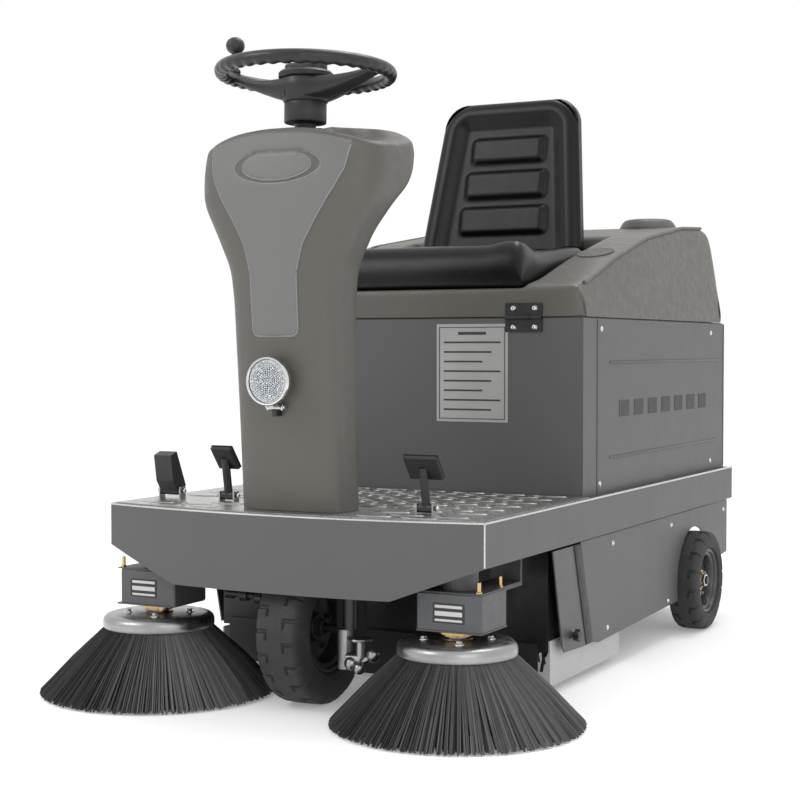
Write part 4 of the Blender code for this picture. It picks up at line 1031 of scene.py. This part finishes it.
def gearbox(which, side, casting, plate, pale, brass):
    """Lid, blank data plate, studs, and the collar round the brush's hub."""
    body = f"arm_{which}"
    low, high = sorted((side * (SIDE_BRUSH[0] - 0.058), side * (SIDE_BRUSH[0] + 0.066)))
    near, far = depth(0.007), depth(0.113)
    lid = bmesh.new()
    add_box(lid, (low + 0.001, near + 0.001, 0.235), (high - 0.001, far - 0.001, 0.2372), 0.0008)
    add_box(lid, (low - 0.0003, near - 0.0003, 0.1672), (high + 0.0003, far + 0.0003, 0.17), 0.0008)
    piece(f"gearbox_lids_{which}", lid, casting, body)
    label = bmesh.new()
    middle = (low + high) / 2
    add_box(label, (middle - 0.03, near - 0.0008, 0.184), (middle + 0.03, near + 0.0005, 0.218),
        0.0003, 1)
    piece(f"gearbox_plate_{which}", label, plate, body)
    stripes = bmesh.new()
    for z, tall in ((0.1868, 0.004), (0.1962, 0.008), (0.2098, 0.005)):
        add_box(stripes, (middle - 0.026, near - 0.0012, z), (middle + 0.026, near - 0.0004,
            z + tall), 0.0002, 1)
    piece(f"gearbox_plate_stripes_{which}", stripes, pale, body)
    studs = bmesh.new()
    for x in (low + 0.009, high - 0.009):
        for y in (near + 0.009, far - 0.009):
            add_rod(studs, (x, y, 0.236), (x, y, 0.2405), 0.0058, 6)
            add_rod(studs, (x, y, 0.24), (x, y, 0.257), 0.0036, 14)
    add_turned(studs, [(0.019, 0.1572), (0.0262, 0.1572), (0.0262, 0.1615), (0.034, 0.162),
        (0.034, 0.1678), (0.019, 0.1678), (0.019, 0.1572)], at(side * SIDE_BRUSH[0], SIDE_BRUSH[1],
        0), UP, 40)
    return piece(f"gearbox_studs_{which}", studs, brass, body)


def roller_brush(bristle, core_black_and_bristle_shade):
    """Main brush: a core with tufts set in spiral rows."""
    low, high = -0.356, 0.354
    centre = at(0, 0.54, 0.119)
    chance = random.Random(3)
    shape = bmesh.new()
    mark = shape.verts.layers.float.new("shade")
    for row in range(8):
        for k in range(50):
            x = low + 0.008 + (high - low - 0.016) * k / 49
            angle = 2 * math.pi * row / 8 + 2.2 * k / 49
            for _ in range(3):
                spread = chance.uniform(-0.09, 0.09)
                points = []
                for share in (0, 1):
                    radius = 0.054 + 0.063 * share
                    turn = angle + spread * share
                    drift = chance.uniform(-0.004, 0.004) * share
                    points.append(centre + Vector((x + drift, radius * math.cos(turn),
                        radius * math.sin(turn))))
                add_strand(shape, mark, points, (0.003, 0.0022), chance.random())
    piece("roller_tufts", shape, bristle, "cylinder_brush", ["main_brush"],
        angle=80)
    core = bmesh.new()
    add_turned(core, [(0, high + 0.002), (0.05, high + 0.002), (0.056, high - 0.002),
        (0.056, low + 0.002), (0.05, low - 0.002), (0.0185, low - 0.002), (0.0185, -0.36),
        (0.012, -0.36), (0.012, -0.3695), (0, -0.3695)], centre, LEFT, 48)
    add_turned(core, [(0, -0.3705), (0.0395, -0.3705), (0.041, -0.3716), (0.0395, -0.374),
        (0.041, -0.377), (0.0395, -0.379), (0, -0.379)], centre, LEFT, 48)
    return piece("roller_core", core, core_black_and_bristle_shade, "cylinder_brush")


def add_tube(shape, points, radius, sides=8):
    return add_strand(shape, None, points, [radius] * len(points), 0, sides)


# Sheet-metal details


def screw_head(shape, spot, out, radius=0.0048):
    """A cross-head screw on its washer."""
    out = Vector(out)
    add_turned(shape, [(0, 0.001), (radius * 1.35, 0.0009), (radius * 1.5, 0), (0, 0)], spot, out,
        24)
    add_turned(shape, [(0, 0.003), (radius * 0.55, 0.0028), (radius * 0.92, 0.002), (radius, 0.001),
        (0, 0.001)], spot, out, 24)


def panels(paint, chrome, edge_highlight_trim, black, plate, print_and_slot_shade):
    """Pressed ribs, slots drawn dark as painted shade, screws, label plate, bright deck-edge rods
    as painted highlight, and rear louvres.
    """
    side = bmesh.new()
    slots = bmesh.new()
    for out in (1, -1):
        for z in (0.625, 0.43):
            add_slab(side, out, (0.3688, 0.3703), (0.662, 1.424), (z - 0.003, z + 0.003), 0.0012)
        # Dark strips for the side vents: painted shade in the slots' openings.
        for k in range(7):
            start = 0.72 + k * 0.092
            add_slab(slots, out, (0.3688, 0.3698), (start, start + 0.06), (0.512, 0.546), 0.0004, 1)
        for distance in ((0.5895, 0.5965), (1.4765, 1.4835)):
            add_slab(side, out, (0.3688, 0.37), distance, (0.364, 0.712), 0.001)
    piece("panel_ribs", side, paint, "chassis")
    piece("panel_slot_shade", slots, print_and_slot_shade, "chassis")
    screws = bmesh.new()
    for out in (1, -1):
        for distance, z in ((0.614, 0.693), (1.371, 0.691), (0.606, 0.38), (1.37, 0.38)):
            screw_head(screws, at(out * 0.3691, distance, z), (out, 0, 0), 0.004)
        for distance, z in ((0.64, 0.258), (1.02, 0.258), (1.43, 0.258), (0.61, 0.09), (1.0, 0.09)):
            screw_head(screws, at(out * 0.3856, distance, z), (out, 0, 0), 0.0036)
        for x, z in ((0.335, 0.69), (0.335, 0.385), (0.03, 0.69), (0.03, 0.385)):
            screw_head(screws, at(out * x, 1.4851, z), (0, 1, 0))
        for x in (0.22, 0.266):
            screw_head(screws, at(out * x, 0.5091, 0.696), (0, -1, 0), 0.0042)
    piece("panel_screws", screws, chrome, "chassis")
    lid_screws = bmesh.new()
    for out in (1, -1):
        for x in (0.22, 0.266):
            screw_head(lid_screws, at(out * x, 0.5091, 0.7335), (0, -1, 0), 0.0042)
    piece("hinge_lid_screws", lid_screws, chrome, "hood_lid")
    label = bmesh.new()
    add_box(label, at(0.049, 0.5109, 0.504), at(0.208, 0.5121, 0.703), 0.0004, 1)
    piece("label_plate", label, plate, "chassis")
    marks = bmesh.new()
    for low, high in (((0.055, 0.51), (0.202, 0.5115)), ((0.055, 0.6955), (0.202, 0.697)),
            ((0.055, 0.51), (0.0565, 0.697)), ((0.2005, 0.51), (0.202, 0.697)),
            ((0.098, 0.681), (0.16, 0.687))):
        add_box(marks, at(low[0], 0.5104, low[1]), at(high[0], 0.5112, high[1]))
    for k in range(8):
        z = 0.664 - k * 0.0195
        add_box(marks, at(0.066, 0.5104, z), (0.192 - 0.02 * (k % 3), depth(0.5112), z + 0.0035))
    piece("label_bars", marks, print_and_slot_shade, "chassis")
    # Bright rods along the deck's top edges and down its front corners: painted highlight on the
    # rounded edge.
    edge = bmesh.new()
    for out in (1, -1):
        add_rod(edge, at(out * 0.3893, 0.0015, 0.3583), at(out * 0.3893, 1.4885, 0.3583), 0.0022,
            12)
        add_rod(edge, at(out * 0.3893, 0.001, 0.283), at(out * 0.3893, 0.001, 0.3583), 0.0016, 12)
    points = [Vector((x, depth(-0.049 * (1 - (x / 0.39) ** 2)) + 0.0006,
        0.3583)) for x in np.linspace(-0.389, 0.389, 41)]
    for start, end in zip(points, points[1:]):
        add_rod(edge, start, end, 0.0018, 10, 0.0)
    piece("deck_edge_highlight", edge, edge_highlight_trim, "chassis")
    rear = bmesh.new()
    for k in range(9):
        z = 0.44 + k * 0.02
        add_box(rear, at(-0.13, 1.4845, z), at(0.13, 1.4862, z + 0.008), 0.0006, 1)
    return piece("rear_louvres", rear, black, "chassis")


def door_details(rubber, black):
    """The access door's seal and its star knob."""
    seal = bmesh.new()
    outline = [(depth(0.42), 0.275), (depth(0.456), 0.275), (depth(0.523), 0.075),
        (depth(0.488), 0.075)]
    add_prism(seal, outline, lambda u, v, h: Vector((0.3856 + h, u, v)), 0.0022, 0.0006)
    piece("door_seal", seal, rubber, "brush_door")
    knob = bmesh.new()
    centre = at(0.386, 0.405, 0.107)
    outline = []
    for a in np.linspace(0, 2 * math.pi, 60, endpoint=False):
        radius = 0.01 + 0.0028 * math.cos(5 * a)
        outline.append((radius * math.cos(a), radius * math.sin(a)))
    add_prism(knob, outline, lambda u, v, h: centre + Vector((0.009 + h, u, v)), 0.0105, 0.0018)
    add_turned(knob, [(0, 0), (0.0085, 0), (0.0062, 0.004), (0.0062, 0.0092), (0, 0.0092)], centre,
        LEFT, 28)
    return piece("star_knob", knob, black, "door_knob", ["door_knob_left"])


def tread_pattern(aluminium):
    """Long raised lozenges in staggered rows on the foot plate."""
    shape = bmesh.new()
    lens = [(0.036 * math.cos(a), 0.0105 * math.sin(a) * abs(math.sin(a)) ** 0.3)
        for a in np.linspace(0, 2 * math.pi, 20, endpoint=False)]
    keep_out = ((-0.112, 0.112, -0.06, 0.106), (-0.372, -0.298, 0.085, 0.16),
        (-0.232, -0.178, 0.1, 0.15), (0.216, 0.27, 0.05, 0.1))
    for row in range(14):
        distance = 0.001 + row * 0.0375
        for column in range(-6, 7):
            x = (column + 0.5 * (row % 2)) * 0.088
            front = 0.01 - 0.049 * (1 - (x / 0.39) ** 2)
            if abs(x) > 0.346 or distance < front + 0.012 or distance > 0.494:
                continue
            if any(low - 0.036 < x < high + 0.036 and near - 0.011 < distance < far + 0.011 for low,
                    high, near, far in keep_out):
                continue
            add_prism(shape, lens, lambda u, v, h: Vector((x + u, depth(distance) + v, 0.3617 + h)),
                0.0016, 0.0008)
    return piece("tread_lozenges", shape, aluminium, "chassis")


def foot_controls(rubber, chrome):
    """Ribbed pads and pivot clips of the three pedals."""
    for name, body, x, distance, half in (("brake", "brake", -0.205, 0.125, 0.024),
            ("flap", "flap_control", 0.243, 0.075, 0.034)):
        top = Vector((x, depth(distance) - 0.012, PLATE_TOP + 0.01 + 0.072))
        turn = Matrix.Rotation(math.radians(38), 3, "X")
        pad = bmesh.new()
        add_box(pad, top + Vector((-half, 0.004, -0.027)), top + Vector((half, 0.0068, 0.027)),
            0.0012, 2, turn, top)
        for k in range(5):
            z = -0.0215 + k * 0.0098
            add_box(pad, top + Vector((0.004 - half, 0.0062, z)),
                top + Vector((half - 0.004, 0.009, z + 0.0042)), 0.0012, 2, turn, top)
        piece(name + "_pad_ribs", pad, rubber, body)
    base = at(-0.335, 0.122, PLATE_TOP + 0.0145)
    pad = bmesh.new()
    low, high = Vector((0, 0.018, 0.01)), Vector((0, -0.012, 0.077))
    along = (high - low).normalized()
    out = Vector((0, along.z, -along.y))
    for k in range(7):
        start = base + low + along * (0.006 + k * 0.009)
        corners = [(-0.018, 0), (0.018, 0), (0.018, 0.0045), (-0.018, 0.0045)]
        add_prism(pad, corners, lambda u, v, h: start + LEFT * u + along * v + out * (h - 0.0004),
            0.0028, 0.0008)
    piece("accelerator_ribs", pad, rubber, "accelerator")
    clips = bmesh.new()
    for x, distance, rise, reach in ((-0.335, 0.122, 0.0145, 0.0256), (-0.205, 0.125, 0.01, 0.0176),
            (0.243, 0.075, 0.01, 0.0176)):
        spot = at(x, distance, PLATE_TOP + rise)
        for way in (1, -1):
            add_turned(clips, [(0, 0.003), (0.0035, 0.0026), (0.0046, 0.001), (0.0046, 0), (0, 0)],
                spot + LEFT * way * (reach + 0.0036), LEFT * way, 18)
    return piece("pedal_clips", clips, chrome, "chassis")


def strut(dark, pale, black):
    """Damper, clamp and ball joints on the fork's left leg, and the tie rod on its right."""
    shape = bmesh.new()
    add_rod(shape, at(0.097, 0.06, 0.148), at(0.097, 0.06, 0.288), 0.0135, 28)
    add_box(shape, at(0.079, 0.05, 0.23), at(0.098, 0.072, 0.246), 0.002)
    piece("strut_tube", shape, dark, "fork")
    clamp = bmesh.new()
    add_box(clamp, at(0.079, 0.0455, 0.076), at(0.0985, 0.072, 0.15), 0.003)
    add_turned(clamp, [(0, 0.003), (0.0215, 0.0026), (0.0225, 0.0006), (0.0215, -0.0012),
        (0, -0.0012)], at(0.124, 0.05, 0.133), UP, 36)
    add_rod(clamp, at(0.124, 0.05, 0.1), at(0.124, 0.05, 0.133), 0.0085, 20)
    add_rod(clamp, at(0.096, 0.05, 0.098), at(0.128, 0.05, 0.098), 0.0095, 20)
    for spot, radius in (((0.108, 0.044, 0.09), 0.0125), ((0.129, 0.036, 0.084), 0.011),
            ((0.148, 0.054, 0.106), 0.0125)):
        bmesh.ops.create_uvsphere(clamp, u_segments=24, v_segments=14, radius=radius,
            matrix=Matrix.Translation((spot[0], depth(spot[1]), spot[2])))
    add_rod(clamp, at(0.129, 0.05, 0.093), at(0.148, 0.054, 0.106), 0.006, 16)
    piece("strut_clamp", clamp, pale, "fork")
    link = bmesh.new()
    add_rod(link, at(-0.079, 0.075, 0.19), at(-0.165, 0.06, 0.196), 0.0065, 16)
    for x, z in ((-0.098, 0.191), (-0.13, 0.1936), (-0.162, 0.1958)):
        add_rod(link, at(x - 0.01, 0.066, z), at(x + 0.006, 0.068, z), 0.012, 18)
    add_rod(link, at(-0.09, 0.072, 0.13), at(-0.09, 0.072, 0.188), 0.005, 14)
    add_rod(link, at(-0.079, 0.072, 0.136), at(-0.094, 0.072, 0.136), 0.0105, 18)
    return piece("tie_rod", link, black, "fork")


def hopper_details(black):
    """Handles and ribs on the rear face of the dust bin."""
    shape = bmesh.new()
    for x in (-0.2, 0.2):
        add_box(shape, at(x - 0.022, 1.4655, 0.19), at(x + 0.022, 1.4715, 0.24), 0.002)
        add_rod(shape, at(x - 0.012, 1.473, 0.215), at(x + 0.012, 1.473, 0.215), 0.0045, 16)
    for x in (-0.24, -0.12, 0.0, 0.12, 0.24):
        add_box(shape, at(x - 0.004, 1.4655, 0.088), at(x + 0.004, 1.469, 0.178), 0.0012)
    return piece("hopper_ribs", shape, black, "dust_bin")


def main():
    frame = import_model()
    nodes = frame["nodes"]
    paint = surface("grey_paint", (0.082, 0.082, 0.083), 0.5, spread=0.015, blotch=3.0,
        grain=1400.0, depth_mm=0.012, rough_spread=0.02)
    shell = surface("warm_grey_plastic", (0.088, 0.082, 0.071), 0.46, spread=0.015, grain=1600.0,
        depth_mm=0.01)
    # Darker plastic for the hood seal, and painted shade in the hood's finger dish.
    dark_plastic_and_dish_shade = surface("dark_grey_plastic_and_dish_shade", (0.06, 0.058, 0.054), 0.55, spread=0.04, grain=2600.0,
        cells=True)
    black = surface("black_plastic", (0.018, 0.018, 0.018), 0.45, spread=0.15, grain=2200.0,
        depth_mm=0.03, cells=True)
    dark_steel = surface("dark_steel", (0.05, 0.05, 0.052), 0.42, 0.75, spread=0.15, grain=1500.0)
    bright = surface("bright_steel", (0.56, 0.56, 0.55), 0.26, 1.0, spread=0.08, grain=700.0,
        depth_mm=0.01, stretch=(1, 1, 6))
    chrome = surface("chrome", (0.66, 0.66, 0.66), 0.12, 1.0, spread=0.04, rough_spread=0.04,
        depth_mm=0.004)
    brass = surface("brass", (0.6, 0.42, 0.18), 0.28, 1.0, spread=0.12, blotch=40.0, depth_mm=0.02)
    tread = surface("tread_aluminium", (0.46, 0.46, 0.45), 0.34, 1.0, spread=0.25, blotch=30.0,
        grain=600.0, depth_mm=0.05, rough_spread=0.12)
    vinyl = surface("seat_vinyl", (0.0035, 0.0035, 0.0035), 0.3, spread=0.1, grain=1100.0,
        depth_mm=0.12, cells=True, rough_spread=0.03, Specular_IOR_Level=0.26)
    tyre = surface("tyre_rubber", (0.026, 0.026, 0.027), 0.72, spread=0.25, blotch=25.0,
        grain=900.0, depth_mm=0.08)
    rubber = surface("black_rubber", (0.02, 0.02, 0.021), 0.55, spread=0.15, grain=1200.0,
        depth_mm=0.05)
    grip = surface("grip_rubber", (0.012, 0.012, 0.012), 0.36, spread=0.15, grain=1500.0,
        depth_mm=0.04)
    pale_rubber = surface("light_rubber", (0.44, 0.44, 0.44), 0.55, spread=0.05, blotch=12.0)
    casting = surface("gearbox_grey", (0.085, 0.087, 0.092), 0.48, 0.2, spread=0.08, blotch=30.0,
        grain=700.0, depth_mm=0.05)
    pale = surface("pale_plate", (0.52, 0.52, 0.51), 0.38, 0.2, spread=0.03)
    red = surface("stop_red", (0.55, 0.012, 0.01), 0.3, spread=0.05)
    facets = surface("faceted_glass", (0.58, 0.6, 0.62), 0.14, 0.9, spread=0.3, blotch=300.0,
        rough_spread=0.05)
    fascia = surface("column_plastic", (0.088, 0.082, 0.072), 0.44, spread=0.015, grain=1600.0,
        depth_mm=0.01)
    two_tone(fascia, (0.14, 0.139, 0.136), "fascia")
    bristle = surface("bristle_strands", (0.026, 0.026, 0.027), 0.48, spread=0.3, blotch=60.0,
        grain=500.0)
    two_tone(bristle, (0.085, 0.085, 0.088), "shade")
    # Near-black: the roller's core, and painted shade as the cone under the side bristles.
    core_black_and_bristle_shade = surface("bristle_core_and_painted_shade", (0.008, 0.008, 0.008), 0.7, spread=0.3, blotch=60.0)
    silver = surface("spun_steel", (0.36, 0.36, 0.355), 0.34, 1.0, spread=0.15, blotch=12.0,
        grain=900.0)
    rim_paint = surface("rim_steel", (0.085, 0.085, 0.088), 0.38, 0.8, spread=0.2, blotch=20.0)
    # Bright aluminium for the deck-edge rods: painted highlight on the rounded edge.
    edge_highlight_trim = surface("edge_highlight_aluminium", (0.55, 0.55, 0.55), 0.32, 0.7, spread=0.08)
    plate = surface("label_aluminium", (0.38, 0.38, 0.375), 0.42, 0.3, spread=0.05, blotch=20.0)
    # Pale plastic of the fascia's raised lines: painted highlight.
    bead_highlight = surface("pale_bead_painted_highlight", (0.2, 0.2, 0.205), 0.4, spread=0.02)
    # Print black, also painted shade in the side vents' slots.
    print_and_slot_shade = surface("print_black_and_slot_shade", (0.035, 0.035, 0.035), 0.6, spread=0.1)
    dress(nodes, paint, "deck_frame front_apron side_plate_left side_plate_right front_panel",
        "side_cover_left side_cover_right rear_panel brush_door_left")
    dress(nodes, black, "dashboard battery_pack hopper accelerator_pedal")
    dress(nodes, dark_steel, "brush_housing body_frame steering_support rear_axle_left",
        "rear_axle_right front_fork steering_chain hinge_lower_left hinge_lower_right",
        "hinge_upper_left hinge_upper_right brake_pedal flap_pedal")
    dress(nodes, bright, "steering_shaft motor_pulley headlight_housing")
    dress(nodes, tread, "tread_plate")
    dress(nodes, rubber, "front_flap drive_belt")
    dress(nodes, pale_rubber, "dust_skirt_left dust_skirt_right")
    dress(nodes, casting, "vacuum_fan brush_motor gear_motor_left gear_motor_right")
    column_cover(fascia)
    column_beads(bead_highlight)
    headlight(chrome, facets, dark_steel)
    steering_wheel(grip, black, dark_steel)
    dashboard(black, chrome, pale, rubber, red)
    hood(shell, dark_plastic_and_dish_shade)
    seat_cushion(vinyl)
    seat_back(vinyl)
    wheels(tyre, rim_paint, brass, bright, black)
    for which, side in (("left", 1), ("right", -1)):
        side_brush(which, side, bristle, core_black_and_bristle_shade, silver, bright)
        gearbox(which, side, casting, black, pale, brass)
    roller_brush(bristle, core_black_and_bristle_shade)
    panels(paint, chrome, edge_highlight_trim, black, plate, print_and_slot_shade)
    door_details(rubber, black)
    tread_pattern(tread)
    foot_controls(rubber, chrome)
    strut(dark_steel, silver, black)
    hopper_details(black)
    studio()


def dress(nodes, material, *names):
    """Gives CAD nodes that stay in sight their material."""
    for name in " ".join(names).split():
        mesh = nodes[name].data
        mesh.materials.clear()
        mesh.materials.append(material)
        mesh.shade_smooth()
        mesh.set_sharp_from_angle(angle=math.radians(32))


def studio():
    """Pale floor and backdrop, soft lights, and the camera at the photograph's angle."""
    shape = bmesh.new()
    bmesh.ops.create_grid(shape, x_segments=1, y_segments=1, size=40)
    mesh = bpy.data.meshes.new("floor")
    shape.to_mesh(mesh)
    shape.free()
    floor = bpy.data.objects.new("floor", mesh)
    bpy.context.scene.collection.objects.link(floor)
    white = bpy.data.materials.new("white_floor")
    white.use_nodes = True
    for socket, value in (("Base Color", (0.82, 0.82, 0.82, 1)), ("Roughness", 0.9),
            ("Emission Color", (1, 1, 1, 1)), ("Emission Strength", 0.22)):
        white.node_tree.nodes["Principled BSDF"].inputs[socket].default_value = value
    mesh.materials.append(white)
    world = bpy.data.worlds.new("studio")
    bpy.context.scene.world = world
    world.use_nodes = True
    back = world.node_tree.nodes["Background"]
    back.inputs["Color"].default_value = (1, 1, 1, 1)
    back.inputs["Strength"].default_value = 1.0
    for name, spot, aim, size, power in (("key", (-3.2, -4.2, 4.6), (0, 0, 0.4), 2.6, 90),
            ("fill", (3.6, -3.8, 2.2), (0, 0, 0.5), 3.0, 30), ("top", (0.4, 1.5, 4.8), (0, 0, 0.5),
            2.2, 80)):
        lamp = bpy.data.lights.new(name, "AREA")
        lamp.energy = power
        lamp.size = size
        obj = bpy.data.objects.new(name, lamp)
        obj.location = spot
        obj.rotation_euler = (Vector(aim) - Vector(spot)).to_track_quat("-Z", "Y").to_euler()
        bpy.context.scene.collection.objects.link(obj)
    camera = bpy.data.cameras.new("camera")
    camera.lens = 72.9
    camera.sensor_width = 36
    view = bpy.data.objects.new("camera", camera)
    view.location = (1.5136, -3.13245, 0.6538)
    view.rotation_euler = (math.radians(90 - 1.83), 0, math.radians(27.423))
    bpy.context.scene.collection.objects.link(view)
    bpy.context.scene.camera = view
    bpy.context.scene.view_settings.view_transform = "Standard"


main()
